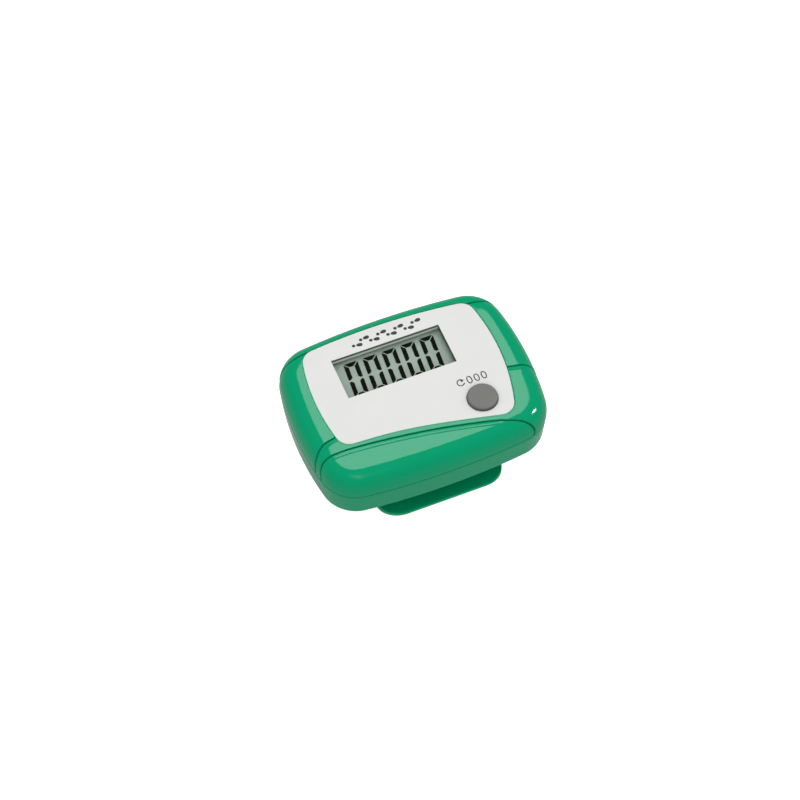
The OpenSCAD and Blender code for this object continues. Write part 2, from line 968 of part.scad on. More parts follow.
module pendulum_arm() {
    color([0.90, 0.88, 0.82])
        difference() {
            union() {
                post(pivot_x, pivot_y, hub_r, hub_low, hub_top);
                slab(pivot_x - pendulum_len / 2, pivot_y, pendulum_len, arm_w, arm_low, arm_top);
                post(pivot_x - pendulum_len, pivot_y, weight_r - 0.4, arm_low, arm_top);
                post(pivot_x - pendulum_len, pivot_y, rivet_r, weight_low, arm_top);
            }
            post(pivot_x, pivot_y, pivot_r + run_gap, floor_z, board_low);
        }
}

module pendulum_weight() {
    color(steel)
        difference() {
            post(pivot_x - pendulum_len, pivot_y, weight_r, weight_low, arm_low);
            post(pivot_x - pendulum_len, pivot_y, rivet_r, weight_low - past, arm_low + past);
        }
}

module pendulum_pin() {
    color(steel)
        union() {
            post(pivot_x, pivot_y, pivot_r, retainer_top - retainer_t - 0.3, board_top);
            post(pivot_x, pivot_y, hub_r - 0.2, hub_top + run_gap, board_low);
        }
}

module pin_retainer() {
    top = retainer_top;
    color(steel)
        difference() {
            post(pivot_x, pivot_y, retainer_r, top - retainer_t, top);
            post(pivot_x, pivot_y, pivot_r, top - past, top + past);
            slab(pivot_x + retainer_r, pivot_y, 2 * retainer_r, 0.6, top - past, top + past);
        }
}

module pendulum_spring() {
    turns = 8;
    steps = 10;
    z = arm_low - hair_wire_r;
    start_y = pivot_y + arm_w / 2 - 0.5;
    end_y = pivot_y + hair_post_off - 0.4;
    lead = 0.9;
    run = end_y - start_y - 2 * lead;
    path = concat(
        [[0, start_y, z], [0, start_y + lead / 2, z]],
        [for (i = [0:turns * steps])
            let (a = 360 * i / steps)
            [hair_r * sin(a), start_y + lead + run * i / (turns * steps), z - hair_r + hair_r * cos(a)]
        ],
        [[0, end_y - lead / 2, z], [0, end_y, z]]
    );
    color(steel)
        translate([pivot_x - hair_at, 0, 0])
            wire(path, hair_wire_r, 6);
}

module spring_post() {
    color(steel)
        post(pivot_x - hair_at, pivot_y + hair_post_off, 0.4, arm_low - 1, board_low);
}

module stop_posts() {
    color(steel)
        for (s = [-1, 1])
            post(pivot_x - stop_at, pivot_y + s * stop_off, stop_r, arm_low - 0.4, board_low);
}

module stop_sleeves() {
    color([0.85, 0.85, 0.83])
        for (s = [-1, 1])
            difference() {
                post(pivot_x - stop_at, pivot_y + s * stop_off, sleeve_r, arm_low - 0.2, board_low - 0.1);
                post(pivot_x - stop_at, pivot_y + s * stop_off, stop_r, arm_low - past, board_low);
            }
}

module contact_wire() {
    color(gold)
        post(pivot_x - wire_at, pivot_y - wire_off, contact_wire_r, arm_low - 0.3, board_low);
}

module case_screws() {
    color(steel)
        at_case_screws()
            difference() {
                union() {
                    post(0, 0, case_screw_r, case_seat_z, case_tip_z);
                    post(0, 0, case_head_r, case_seat_z - case_head_t, case_seat_z);
                }
                cross_slot(case_head_r, case_seat_z - case_head_t, 0.7);
            }
}

// Radius of a curve that leaves a flat and rises by that much over its run
function rise_r(run, rise) = (run * run + rise * rise) / (2 * rise);

// Rise of such a curve at a distance from the flat
function curve_rise(at, run, rise) =
    let (r = rise_r(run, rise))
    r - sqrt(r * r - at * at);

// Points of that curve: it starts at the flat's end and runs towards s
function rise_line(y, z, run, rise, s, steps) =
    let (r = rise_r(run, rise))
    [for (i = [0:steps]) [y, z + r] + r * unit(270 + s * asin(run / r) * i / steps)];

// Side view of the clip: flat middle, tip and lever bent towards the body
module clip_profile() {
    inner_rise = tip_rise + tip_t - clip_t;
    lever_in = rise_line(lever_flat_y, clip_t, lever_run, lever_rise, 1, 6);
    tip_out = rise_line(tip_flat_y, 0, tip_run, tip_rise, -1, 8);
    polygon(concat(
        rise_line(lever_flat_y, 0, lever_run, lever_rise, 1, 6),
        [for (i = [6:-1:0]) lever_in[i]],
        rise_line(tip_flat_y, clip_t, tip_run, inner_rise, -1, 8),
        [for (i = [8:-1:0]) tip_out[i]]
    ));
}

// Plan view of the clip
module clip_plan() {
    a = clip_w / 2;
    polygon(concat(
        bend([a - tip_corner_r, tip_y + tip_corner_r], tip_corner_r, 270, 360, 8),
        bend([a - lever_corner_r, lever_y - lever_corner_r], lever_corner_r, 0, 90, 8),
        bend([lever_corner_r - a, lever_y - lever_corner_r], lever_corner_r, 90, 180, 8),
        bend([tip_corner_r - a, tip_y + tip_corner_r], tip_corner_r, 180, 270, 8)
    ));
}

module belt_clip() {
    color(case_green)
        difference() {
            union() {
                intersection() {
                    translate([-clip_w / 2, 0, 0])
                        rotate([90, 0, 90])
                            linear_extrude(clip_w)
                                clip_profile();
                    linear_extrude(back_z)
                        clip_plan();
                }
                ridge();
                for (s = [-1, 1])
                    lug(s > 0 ? lug_x : -lug_x - ear_t);
            }
            axle(-pin_half - past, hinge_y, pin_z, pin_r, 2 * (pin_half + past));
        }
}

// Hinge lug of the clip, from the pin down into the plate
module lug(x) {
    axle(x, hinge_y, pin_z, ear_r, ear_t);
    translate([x, hinge_y - ear_r, clip_t / 2])
        cube([ear_t, 2 * ear_r, pin_z - clip_t / 2]);
}

// Ridge that grips the belt against the back
module ridge() {
    top = back_z - fit_gap;
    axle(-ridge_half, ridge_y, top - ridge_r, ridge_r, 2 * ridge_half);
    translate([-ridge_half, 0, 0])
        rotate([90, 0, 90])
            linear_extrude(2 * ridge_half)
                polygon([
                    [ridge_y - 2 * ridge_r, clip_t / 2 + tip_rise / 2],
                    [ridge_y + 2 * ridge_r, clip_t / 2],
                    [ridge_y + ridge_r, top - ridge_r],
                    [ridge_y - ridge_r, top - ridge_r]
                ]);
}

module clip_pin() {
    color(steel)
        axle(-pin_half, hinge_y, pin_z, pin_r, 2 * pin_half);
}

module clip_spring() {
    steps = 14;
    count = coil_turns * steps;
    leg_y = hinge_y + leg_len;
    leg_low = clip_t + curve_rise(leg_y - lever_flat_y, lever_run, lever_rise) + wire_r + run_gap;
    path = concat(
        [[-coil_half, leg_y, back_z - wire_r - run_gap], [-coil_half, hinge_y + 0.6, pin_z + coil_r]],
        [for (i = [0:count])
            let (a = 360 * i / steps)
            [-coil_half + 2 * coil_half * i / count, hinge_y - coil_r * sin(a), pin_z + coil_r * cos(a)]
        ],
        [[coil_half, hinge_y + 0.6, pin_z - coil_r], [coil_half, leg_y, leg_low]]
    );
    color(steel)
        wire(path, wire_r, 8);
}

front_case();
back_case();
face_plate();
plate_adhesive();
reset_button();
rubber_key();
carbon_pill();
key_contacts();
lcd_polarizer();
lcd_front_glass();
lcd_seal();
lcd_segments();
lcd_rear_glass();
lcd_reflector();
lcd_frame();
zebra_strip();
circuit_board();
board_screws();
chip_blob();
crystal();
chip_parts();
button_cell();
cell_contact_plus();
cell_contact_minus();
battery_door();
pendulum_arm();
pendulum_weight();
pendulum_pin();
pin_retainer();
pendulum_spring();
spring_post();
stop_posts();
stop_sleeves();
contact_wire();
case_screws();
belt_clip();
clip_pin();
clip_spring();
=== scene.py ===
# Looks of a clip-on step counter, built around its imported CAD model.
# Each piece is modelled in millimetres in the CAD's own frame and put in metres when handed over.
from math import atan2, copysign, cos, exp, pi, radians, sin, sqrt, tan

import bmesh
import bpy
from mathutils import Matrix, Vector, kdtree
from mathutils.geometry import delaunay_2d_cdt


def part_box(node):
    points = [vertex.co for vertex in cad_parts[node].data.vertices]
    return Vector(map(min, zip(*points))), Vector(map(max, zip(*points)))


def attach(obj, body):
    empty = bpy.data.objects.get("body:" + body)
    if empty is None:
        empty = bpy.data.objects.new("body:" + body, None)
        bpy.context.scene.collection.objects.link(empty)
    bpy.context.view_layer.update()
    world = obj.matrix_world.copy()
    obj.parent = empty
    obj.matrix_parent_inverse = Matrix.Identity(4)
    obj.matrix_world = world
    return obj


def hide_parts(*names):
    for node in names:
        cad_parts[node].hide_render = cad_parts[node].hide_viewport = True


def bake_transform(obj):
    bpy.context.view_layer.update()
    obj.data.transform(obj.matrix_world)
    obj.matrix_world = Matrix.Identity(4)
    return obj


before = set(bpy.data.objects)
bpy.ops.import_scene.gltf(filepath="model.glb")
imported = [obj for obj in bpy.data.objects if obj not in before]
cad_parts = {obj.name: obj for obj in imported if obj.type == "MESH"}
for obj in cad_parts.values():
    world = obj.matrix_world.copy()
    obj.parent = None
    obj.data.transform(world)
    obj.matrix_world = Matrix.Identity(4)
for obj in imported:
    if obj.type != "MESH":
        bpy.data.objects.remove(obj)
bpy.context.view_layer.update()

MM = 0.001


# ---- sizes, in millimetres

def corners(node):
    """Lowest and highest corner of a CAD node."""
    low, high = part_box(node)
    return low / MM, high / MM


def middle(node):
    low, high = corners(node)
    return (low + high) / 2


FACE_Z = corners("face_plate")[1].z
PLATE_LOW = corners("face_plate")[0].z
RECESS_Z = corners("plate_adhesive")[0].z
CEILING_Z = corners("lcd_polarizer")[1].z
PARTING_D = 4.7  # depth of the parting line below the face
PARTING_Z = FACE_Z - PARTING_D
BACK_Z = corners("battery_door")[0].z
FLANGE_W = 0.8  # width of the button's flange behind the front wall
BUTTON_GAP = 0.08
BUTTON_STEPS = 96  # points round the button and its hole
BUTTON = middle("reset_button").to_2d()
BUTTON_R = (corners("reset_button")[1].x - BUTTON.x) - FLANGE_W
HOLE_R = BUTTON_R + BUTTON_GAP
WINDOW = middle("lcd_polarizer").to_2d()
WINDOW_W = 23.2
WINDOW_H = 9.5
PIN = middle("clip_pin")
EDGE_RUN = 6.6  # length of the rounded front edge, laid flat
EDGE_POWER = 2.38  # squareness of the rounded front edge
LIP_R = 0.14  # rounding of the shell's lip around the plate
SEAM_R = 0.17  # rounding of both shells at the parting line
PLATE_GAP = 0.04  # gap between the plate and the shell's lip
TOUCH = 0.01  # gap or overlap that keeps two faces from lying in one plane
FOLD = 0.1  # set-back of the plate's foot behind its folded window edge


def heading(angle):
    return Vector((cos(angle), sin(angle)))


def full_turn(count):
    """Angles in even steps all round."""
    return [2 * pi * i / count for i in range(count)]


class Bulged:
    """A rectangle with bulged sides and round corners: three arcs to a quarter."""

    def __init__(self, half_w, half_h, side_r, end_r, corner_r):
        self.sizes = (half_w, half_h, side_r, end_r, corner_r)
        side = Vector((half_w - side_r, 0))
        end = Vector((0, half_h - end_r))
        r1, r2 = side_r - corner_r, end_r - corner_r
        gap = (end - side).length
        along = (end - side) / gap
        m = (r1 * r1 - r2 * r2 + gap * gap) / (2 * gap)
        h = sqrt(r1 * r1 - m * m)
        k = side + m * along + h * Vector((-along.y, along.x))
        t1 = atan2(k.y - side.y, k.x - side.x)
        t2 = atan2(k.y - end.y, k.x - end.x)
        self.arcs = ((side, side_r, 0, t1), (k, corner_r, t1, t2), (end, end_r, t2, pi / 2))

    def point(self, arc, share, out=0):
        """The point at a share of an arc, moved outwards if asked."""
        centre, r, a, b = self.arcs[arc]
        return centre + (r + out) * heading(a + (b - a) * share)

    def locate(self, p):
        """The arc beside a point of the first quarter, the share of it and the distance outside."""
        for arc, (centre, r, a, b) in enumerate(self.arcs):
            angle = atan2(p.y - centre.y, p.x - centre.x)
            if a <= angle <= b or arc == 2:
                return arc, (angle - a) / (b - a), (p - centre).length - r

    def around(self, steps):
        """Places all round, counter-clockwise: the quarter's signs, the arc and the share."""
        quarter = [(arc, i / steps[arc]) for arc in range(3) for i in range(steps[arc])] + [(2, 1.0)]
        places = [(1, 1, *q) for q in quarter]
        places += [(-1, 1, *q) for q in reversed(quarter[:-1])]
        places += [(-1, -1, *q) for q in quarter[1:]]
        places += [(1, -1, *q) for q in reversed(quarter[1:-1])]
        return places

    def ring(self, places, out=0):
        return [self.point(arc, share, out) * Vector((sx, sy)) for sx, sy, arc, share in places]


# half width, half height, the bulge radii of the sides and the ends, and the corner radius
FACE = Bulged(21.4, 14.9, 73, 184, 4.4)
PARTING = Bulged(25, 18.8, 67, 157, 7.9)


# ---- small tools

def deselect():
    for obj in bpy.context.selected_objects:
        obj.select_set(False)


def activate(obj):
    deselect()
    obj.select_set(True)
    bpy.context.view_layer.objects.active = obj
    return obj


def linked(name, data):
    """A new object in the scene for a mesh, a curve, a lamp or a camera."""
    obj = bpy.data.objects.new(name, data)
    bpy.context.scene.collection.objects.link(obj)
    return obj


def object_from(name, bm):
    mesh = bpy.data.meshes.new(name)
    bm.to_mesh(mesh)
    bm.free()
    return linked(name, mesh)


def mesh_of(node):
    """A CAD node's mesh, with the points that lie in one place joined."""
    bm = bmesh.new()
    bm.from_mesh(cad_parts[node].data)
    bmesh.ops.remove_doubles(bm, verts=bm.verts, dist=1e-6)
    return bm


def apply_modifier(obj, kind, **settings):
    activate(obj)
    modifier = obj.modifiers.new(kind.lower(), kind)
    for key, value in settings.items():
        setattr(modifier, key, value)
    bpy.ops.object.modifier_apply(modifier=modifier.name)


def smooth(obj, degrees=35):
    activate(obj)
    bpy.ops.object.shade_smooth_by_angle(angle=radians(degrees))


def hand_over(obj, body, slot, *nodes, finishes=()):
    """Puts a piece in metres with its finishes (the slot's finish when none are given), attaches it to
    a body if one is named, and hides the CAD nodes.
    """
    obj.data.transform(Matrix.Scale(MM, 4))
    obj.data.update()
    for name in finishes or (slot,):
        obj.data.materials.append(FINISHES[name])
    if body:
        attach(obj, body)
    if nodes:
        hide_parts(*nodes)
    return obj


def curve_through(points, step):
    """Points of a smooth curve through a few given ones, about a step apart."""
    pts = [Vector(p) for p in points]
    pts = [2 * pts[0] - pts[1]] + pts + [2 * pts[-1] - pts[-2]]
    line = []
    for a, b, c, d in zip(pts, pts[1:], pts[2:], pts[3:]):
        count = max(1, round((c - b).length / step))
        for i in range(count):
            t = i / count
            line.append(0.5 * (2 * b + (c - a) * t + (2 * a - 5 * b + 4 * c - d) * t * t
                               + (3 * b - a - 3 * c + d) * t ** 3))
    line.append(pts[-2].copy())
    return line


def neighbours(line, k, closed=False):
    """The points before and after a line's point, or that point itself at an open end."""
    if closed:
        return line[k - 1], line[(k + 1) % len(line)]
    return line[max(k - 1, 0)], line[min(k + 1, len(line) - 1)]


def rightwards(line, k, closed=False):
    """The direction square to a line at one of its points, to the right of its run."""
    a, b = neighbours(line, k, closed)
    along = (b - a).normalized()
    return Vector((along.y, -along.x))


def round_over(r, steps):
    """A quarter round: how far each point lies in from the side and short of the flat."""
    turns = [pi / 2 * i / steps for i in range(1, steps + 1)]
    return [(r * (1 - cos(t)), r * (1 - sin(t))) for t in turns]


def tree_of(points):
    tree = kdtree.KDTree(len(points))
    for i, p in enumerate(points):
        tree.insert(p.to_3d() if len(p) == 2 else p, i)
    tree.balance()
    return tree


# ---- the front shell's surface

def on_surface(p):
    """The shell's place for a point of its developed plan, where the rounded edge is laid flat."""
    arc, share, out = FACE.locate(Vector((abs(p.x), abs(p.y))))
    if out <= 0:
        return Vector((p.x, p.y, FACE_Z))
    t = pi / 2 * (1 - min(out / EDGE_RUN, 1))
    run = max(cos(t), 0) ** (2 / EDGE_POWER)
    rise = max(sin(t), 0) ** (2 / EDGE_POWER)
    q = FACE.point(arc, share).lerp(PARTING.point(arc, share), run)
    z = PARTING_Z + (FACE_Z - PARTING_Z) * rise
    return Vector((copysign(q.x, p.x), copysign(q.y, p.y), z))


def surface_normal(p, e=0.01):
    side = on_surface(p + Vector((e, 0))) - on_surface(p - Vector((e, 0)))
    back = on_surface(p + Vector((0, e))) - on_surface(p - Vector((0, e)))
    return side.cross(back).normalized()


def outside(p):
    """How far a point of the developed plan is outside the flat face."""
    return FACE.locate(Vector((abs(p.x), abs(p.y))))[2]


OUTLINE_STEP = 0.2
OUTLINE_PASSES = 5


def plate_outline():
    """The plate's outline from its CAD node, in even small steps and smoothed, counter-clockwise."""
    bm = mesh_of("face_plate")
    top = {f for f in bm.faces if f.normal.z > 0.9}
    rim = [e for e in bm.edges if sum(f in top for f in e.link_faces) == 1]
    ahead = {}
    for e in rim:
        for v in e.verts:
            ahead.setdefault(v, []).append(e.other_vert(v))
    start = max(ahead, key=lambda v: v.co.y)
    loop, last, here = [start], None, start
    while True:
        step = next(v for v in ahead[here] if v != last)
        if step == start:
            break
        loop.append(step)
        last, here = here, step
    points = [v.co.to_2d() / MM for v in loop]
    bm.free()
    if sum(a.cross(b) for a, b in zip(points, points[1:] + points[:1])) < 0:
        points.reverse()
    return even_loop(points, OUTLINE_STEP, OUTLINE_PASSES)


def even_loop(points, step, passes):
    """A closed line in even steps, with its corners eased by a few passes of averaging."""
    lengths = [(b - a).length for a, b in zip(points, points[1:] + points[:1])]
    total = sum(lengths)
    count = round(total / step)
    line, i, walked = [], 0, 0.0
    for n in range(count):
        at = total * n / count
        while walked + lengths[i] < at:
            walked += lengths[i]
            i += 1
        line.append(points[i].lerp(points[(i + 1) % len(points)], (at - walked) / lengths[i]))
    for _ in range(passes):
        line = [(line[k - 1] + 2 * line[k] + line[(k + 1) % count]) / 4 for k in range(count)]
    return line


def grown(loop, e):
    """A counter-clockwise loop moved outwards by e."""
    return [p + e * rightwards(loop, k, closed=True) for k, p in enumerate(loop)]


def inside_loop(p, loop):
    hit = False
    for a, b in zip(loop, loop[1:] + loop[:1]):
        if (a.y > p.y) != (b.y > p.y) and p.x < a.x + (b.x - a.x) * (p.y - a.y) / (b.y - a.y):
            hit = not hit
    return hit


# Grooves between the shell's layers, from left to right in the developed plan: points, depth, half
# widths at the start, in the middle and at the end, and the offset of a fine crease below
GROOVES = {
    "band_left": (
        [(-27.5, 14.2), (-25.3, 14.1), (-23.1, 14.3), (-20.3, 14.7), (-17.3, 15.0), (-15.5, 15.1)],
        0.7, (0.6, 0.2, 0.12), 0),
    "band_right": (
        [(14.9, 14.6), (16.5, 14.2), (20.1, 13.45), (23.7, 12.9), (27.9, 11.6)],
        0.5, (0.12, 0.2, 0.26), 0),
    "side_left": (
        [(-27.8, -9.2), (-25.3, -8.1), (-21.3, -6.2), (-19, -5.6), (-17.5, -5.3)],
        0.45, (0.3, 0.2, 0.13), 0.9),
    "side_right": (
        [(18, -3.1), (19, -3.2), (21.9, -3.8), (25, -4.7), (28.2, -5.9)],
        0.45, (0.16, 0.18, 0.2), 0.9),
    "sweep": (
        [(-27.9, -11.4), (-27, -11.1), (-25.3, -10.2), (-22.8, -9.4), (-18, -9.1), (-10, -9.75),
         (0, -11.2), (10, -13.4), (14.5, -14.8), (16.3, -15.6), (17.7, -16.7), (18.9, -17.9),
         (19.8, -19.2), (19.9, -21.2)],
        0.45, (0.3, 0.17, 0.36), 1.0),
}
GROOVE_POWER = 0.6  # below 1 for steeper walls than a cosine's
GROOVE_ENDS = 6  # length of the stretch over which a groove widens towards its ends
SEAM_SHARE = 0.3  # share of a groove's depth that is left at the parting line
SEAM_REACH = 0.5  # length of the stretch over which the depth falls to that share
CREASE_HALF = 0.1  # half the crease's width
CREASE_DEPTH = 0.1
CREASE_END = 0.3
CREASE_FADE = 0.45  # the crease ends where the surface has fallen this far below the flat face
LINE_STEP = 0.05
STEP_DEPTH = 0.10  # how far a layer lies below its upper neighbour at the groove
STEP_FADE = 1.2  # distance over which that step fades out
ROWS_BESIDE = (-0.6, 0.55, 0.7)  # places across a groove of the rows of points beside it
KEEP_ABOVE = 0.75  # how far from a groove's middle the even filling stays, above it and below it
KEEP_BELOW = 0.85
KEEP_CREASE = 0.45


class Groove:
    """A groove between two of the shell's layers, with their step in height and a fine crease."""

    def __init__(self, points, depth, halves, crease_at):
        self.line = curve_through(points, LINE_STEP)
        self.depth, self.halves, self.crease_at = depth, halves, crease_at
        self.tree = tree_of([on_surface(p) for p in self.line])

    def half_at(self, i):
        """Half the groove's width at one of the line's points."""
        start, mid, end = self.halves
        a = max(1 - i * LINE_STEP / GROOVE_ENDS, 0)
        b = max(1 - (len(self.line) - 1 - i) * LINE_STEP / GROOVE_ENDS, 0)
        return mid + (start - mid) * a + (end - mid) * b

    def offset(self, place, p):
        """Distance of a point from the groove's middle, positive below, and the half width there."""
        _, i, distance = self.tree.find(place)
        a, b = neighbours(self.line, i)
        below = (b - a).cross(p - self.line[i]) < 0
        return (distance if below else -distance), self.half_at(i)

    def sink(self, place, p):
        """How far the surface lies below the plain shell, by the groove alone (which sets the painted
        shade) and in all.
        """
        d, half = self.offset(place, p)
        depth_and_painted_shade = 0
        if abs(d) < half:
            depth_and_painted_shade = self.depth * (0.5 + 0.5 * cos(pi * d / half)) ** GROOVE_POWER
        deep = depth_and_painted_shade
        if self.crease_at and abs(d - self.crease_at) < CREASE_HALF:
            fade = max(1 - (FACE_Z - place.z) / CREASE_FADE, 0)
            wave = cos(pi * (d - self.crease_at) / CREASE_HALF)
            deep += fade * CREASE_DEPTH * (0.5 + 0.5 * wave)
        ramp = min(max((d + half) / (2 * half), 0), 1)
        step = STEP_DEPTH * ramp * ramp * (3 - 2 * ramp) * exp(-max(d, 0) / STEP_FADE)
        return depth_and_painted_shade, deep + step

    def strip(self):
        """Points along the groove, close together across it."""
        fixed = list(ROWS_BESIDE)
        if self.crease_at:
            rows = [i * CREASE_HALF / 2 for i in range(-3, 4)] + [CREASE_END]
            fixed += [self.crease_at + row for row in rows]
        points = []
        for k in range(0, len(self.line), 4):
            down = rightwards(self.line, k)
            points += [self.line[k] + i * self.half_at(k) / 5 * down for i in range(-6, 7)]
            points += [self.line[k] + row * down for row in fixed]
        return points

    def covers(self, place, p):
        """Whether a point lies in the stretch that the groove's own points fill."""
        end = self.crease_at + KEEP_CREASE if self.crease_at else KEEP_BELOW
        return -KEEP_ABOVE < self.offset(place, p)[0] < end


def rounded(t, r):
    """How far a rounded edge lies back at a distance t from the edge."""
    return r - sqrt(r * r - (r - t) ** 2) if t < r else 0


MARK_REACH = 1.5  # distance from a mark within which points are close together


def spaced(loop, wide, fine, marks):
    """Points of a dense loop, wide apart but close together near the marks."""
    kept = [loop[0]]
    gone = 0
    for a, b in zip(loop, loop[1:]):
        gone += (b - a).length
        near = min((b - m).length for m in marks) < MARK_REACH
        if gone >= (fine if near else wide):
            kept.append(b)
            gone = 0
    return kept


LOOP_STEP = 0.05  # spacing on a dense loop, before it is thinned out
FINE = 0.08  # spacing of a loop's points where a groove meets it
INNER_STEP = 0.3  # and elsewhere, on the loops round the plate and at the parting line
OUTER_STEP = 0.4
INNER_ROWS = (0.01, 0.03, 0.06, 0.1, LIP_R, 0.32)  # distances of rows of points beside those loops
OUTER_ROWS = (0.04, 0.1, SEAM_R, 0.3)
STRIP_MARGIN = 0.36  # how close to the loops the grooves' points and the even filling come
FILL_MARGIN = 0.45
PITCH = 0.42  # spacing of the even filling
ROW_SHARE = 0.87  # spacing of its rows, as a share of the pitch
SHELF = 0.05  # least height that the rounded lip leaves above the plate's recess


def front_shell(outline):
    """The front shell: layers, grooves and lip as one net of points, around the CAD's inside."""
    grooves = [Groove(*values) for values in GROOVES.values()]
    pocket = grown(outline, PLATE_GAP)
    pocket_tree = tree_of(pocket)
    places = FACE.around((60, 60, 60))

    def plan_ring(out):
        return even_loop(FACE.ring(places, out), LOOP_STEP, 0)

    def in_domain(p, margin):
        if outside(p) > EDGE_RUN - margin:
            return False
        _, _, d = pocket_tree.find(p.to_3d())
        return d > margin and not inside_loop(p, pocket)

    # boundary loops first, then the rows beside them, the grooves' strips and an even filling
    marks = [g.line[k] for g in grooves for k in range(0, len(g.line), 10)]
    inner = spaced(even_loop(pocket, LOOP_STEP, 0), INNER_STEP, FINE, marks)
    outer = spaced(plan_ring(EDGE_RUN), OUTER_STEP, FINE, marks)
    points = inner + outer
    for t in INNER_ROWS:
        points += spaced(even_loop(grown(pocket, t), LOOP_STEP, 0), INNER_STEP, FINE, marks)
    for t in OUTER_ROWS:
        points += spaced(plan_ring(EDGE_RUN - t), OUTER_STEP, FINE, marks)
    for g in grooves:
        points += [p for p in g.strip() if in_domain(p, STRIP_MARGIN)]
    half_x = PARTING.sizes[0] + EDGE_RUN
    half_y = PARTING.sizes[1] + EDGE_RUN
    for j in range(round(-half_y / PITCH), round(half_y / PITCH)):
        for i in range(round(-half_x / PITCH), round(half_x / PITCH)):
            p = Vector(((i + 0.5 * (j % 2)) * PITCH, j * PITCH * ROW_SHARE))
            if in_domain(p, FILL_MARGIN):
                place = on_surface(p)
                if not any(g.covers(place, p) for g in grooves):
                    points.append(p)
    a, b = len(inner), len(inner) + len(outer)
    edges = [(i, (i + 1) % a) for i in range(a)]
    edges += [(a + i, a + (i + 1) % (b - a)) for i in range(b - a)]
    verts, _, faces, origins, _, _ = delaunay_2d_cdt(points, edges, [], 0, 1e-4)

    def placed(p):
        """The vertex for a point of the plan, which also notes how deep it lies in a groove, for the
        painted shade there.
        """
        place = on_surface(p)
        sinks = [g.sink(place, p) for g in grooves]
        from_seam = max(EDGE_RUN - outside(p), 0)
        deep = max(deep for _, deep in sinks)
        deep *= SEAM_SHARE + (1 - SEAM_SHARE) * min(from_seam / SEAM_REACH, 1)
        deep += rounded(from_seam, SEAM_R)
        place = place - deep * surface_normal(p)
        _, _, lip = pocket_tree.find(p.to_3d())
        place.z -= rounded(lip, LIP_R)
        if lip < LIP_R:
            place.z = max(place.z, RECESS_Z + SHELF)
        v = bm.verts.new(place)
        # the groove's depth is kept for the material, which paints shade into the grooves
        v[depth_and_painted_shade] = max(h for h, _ in sinks)
        return v

    # triangles with all corners on the loops lie in the pocket or outside the shell
    index = {source: i for i, sources in enumerate(origins) for source in sources}
    on_loops = {index[i] for i in range(b)}
    bm = bmesh.new()
    depth_and_painted_shade = bm.verts.layers.float.new("depth_and_painted_shade")
    shell = [placed(Vector(v)) for v in verts]
    for f in faces:
        if not on_loops.issuperset(f):
            bm.faces.new([shell[i] for i in f])
    lip = [shell[index[i]] for i in range(a)]
    seam = [shell[index[i]] for i in range(a, b)]
    for v in seam:
        v.co.z = PARTING_Z

    # pocket wall, then the CAD's cavity, bosses and openings between its two flat levels
    wall_foot = ring_below(bm, lip, RECESS_Z)
    add_inside(bm, "front_case", {RECESS_Z: wall_foot, PARTING_Z: seam})
    # the window's side walls get a painted shade, its front and back walls a painted light against
    # their shade
    paint_window_walls(bm, CEILING_Z + TOUCH, RECESS_Z - TOUCH, 2)
    return finished("front_shell", bm, 55)


def paint_window_walls(bm, low, high, front_back=1):
    """Gives the window's walls the second finish, a painted shade, and its front and back walls
    another if asked, a painted light.
    """
    bm.normal_update()
    for f in bm.faces:
        mid = f.calc_center_median()
        away = mid.to_2d() - WINDOW
        beside = abs(away.x) < WINDOW_W / 2 + FOLD and abs(away.y) < WINDOW_H / 2 + FOLD
        if beside and low < mid.z < high:
            f.material_index = front_back if abs(f.normal.y) > 0.5 else 1


def ring_of(bm, points, z):
    return [bm.verts.new((p.x, p.y, z)) for p in points]


def bridge(bm, *rings):
    """Quads between each ring and the next, which have as many points each."""
    n = len(rings[0])
    for one, two in zip(rings, rings[1:]):
        for i in range(n):
            bm.faces.new((one[i], one[(i + 1) % n], two[(i + 1) % n], two[i]))


def ring_below(bm, ring, z):
    low = [bm.verts.new((v.co.x, v.co.y, z)) for v in ring]
    bridge(bm, ring, low)
    return low


def ring_edges(bm, ring):
    return [bm.edges.get(pair) or bm.edges.new(pair) for pair in zip(ring, ring[1:] + ring[:1])]


def fill(bm, edges):
    """Flat filling between the loops of some edges."""
    bmesh.ops.triangle_fill(bm, use_beauty=True, use_dissolve=False, edges=edges)


def round_ring(mid, r, count):
    return [mid + r * heading(t) for t in full_turn(count)]


def box_ring(mid, w, h):
    signs = ((1, 1), (-1, 1), (-1, -1), (1, -1))
    return [mid + Vector((sx * w / 2, sy * h / 2)) for sx, sy in signs]


LEVEL_REACH = 0.001  # how exactly a point has to lie on a flat level


def add_inside(bm, node, levels):
    """Adds a shell's inside from its CAD node and closes it to new rings at the flat levels."""
    inner = mesh_of(node)
    bmesh.ops.scale(inner, vec=(1 / MM,) * 3, verts=inner.verts)
    flat = [f for f in inner.faces for z in levels
            if all(abs(v.co.z - z) < LEVEL_REACH for v in f.verts)]
    bmesh.ops.delete(inner, geom=flat, context="FACES")
    skin, front = set(), [max(inner.verts, key=lambda v: v.co.x)]
    while front:
        v = front.pop()
        if v not in skin:
            skin.add(v)
            front += [e.other_vert(v) for e in v.link_edges]
    bmesh.ops.delete(inner, geom=list(skin), context="VERTS")
    copies = {v: bm.verts.new(v.co) for v in inner.verts if v.link_faces}
    rims = [[copies[v] for v in e.verts] for e in inner.edges if len(e.link_faces) == 1]
    for f in inner.faces:
        bm.faces.new([copies[v] for v in f.verts])
    inner.free()
    for z, ring in levels.items():
        edges = [bm.edges.get(pair) for pair in rims if abs(pair[0].co.z - z) < LEVEL_REACH]
        fill(bm, edges + ring_edges(bm, ring))


def finished(name, bm, degrees=40):
    bmesh.ops.recalc_face_normals(bm, faces=bm.faces)
    obj = object_from(name, bm)
    smooth(obj, degrees)
    return obj


# ---- back shell

BACK_EDGE_R = 1.3
BACK_DRAFT = 0.4


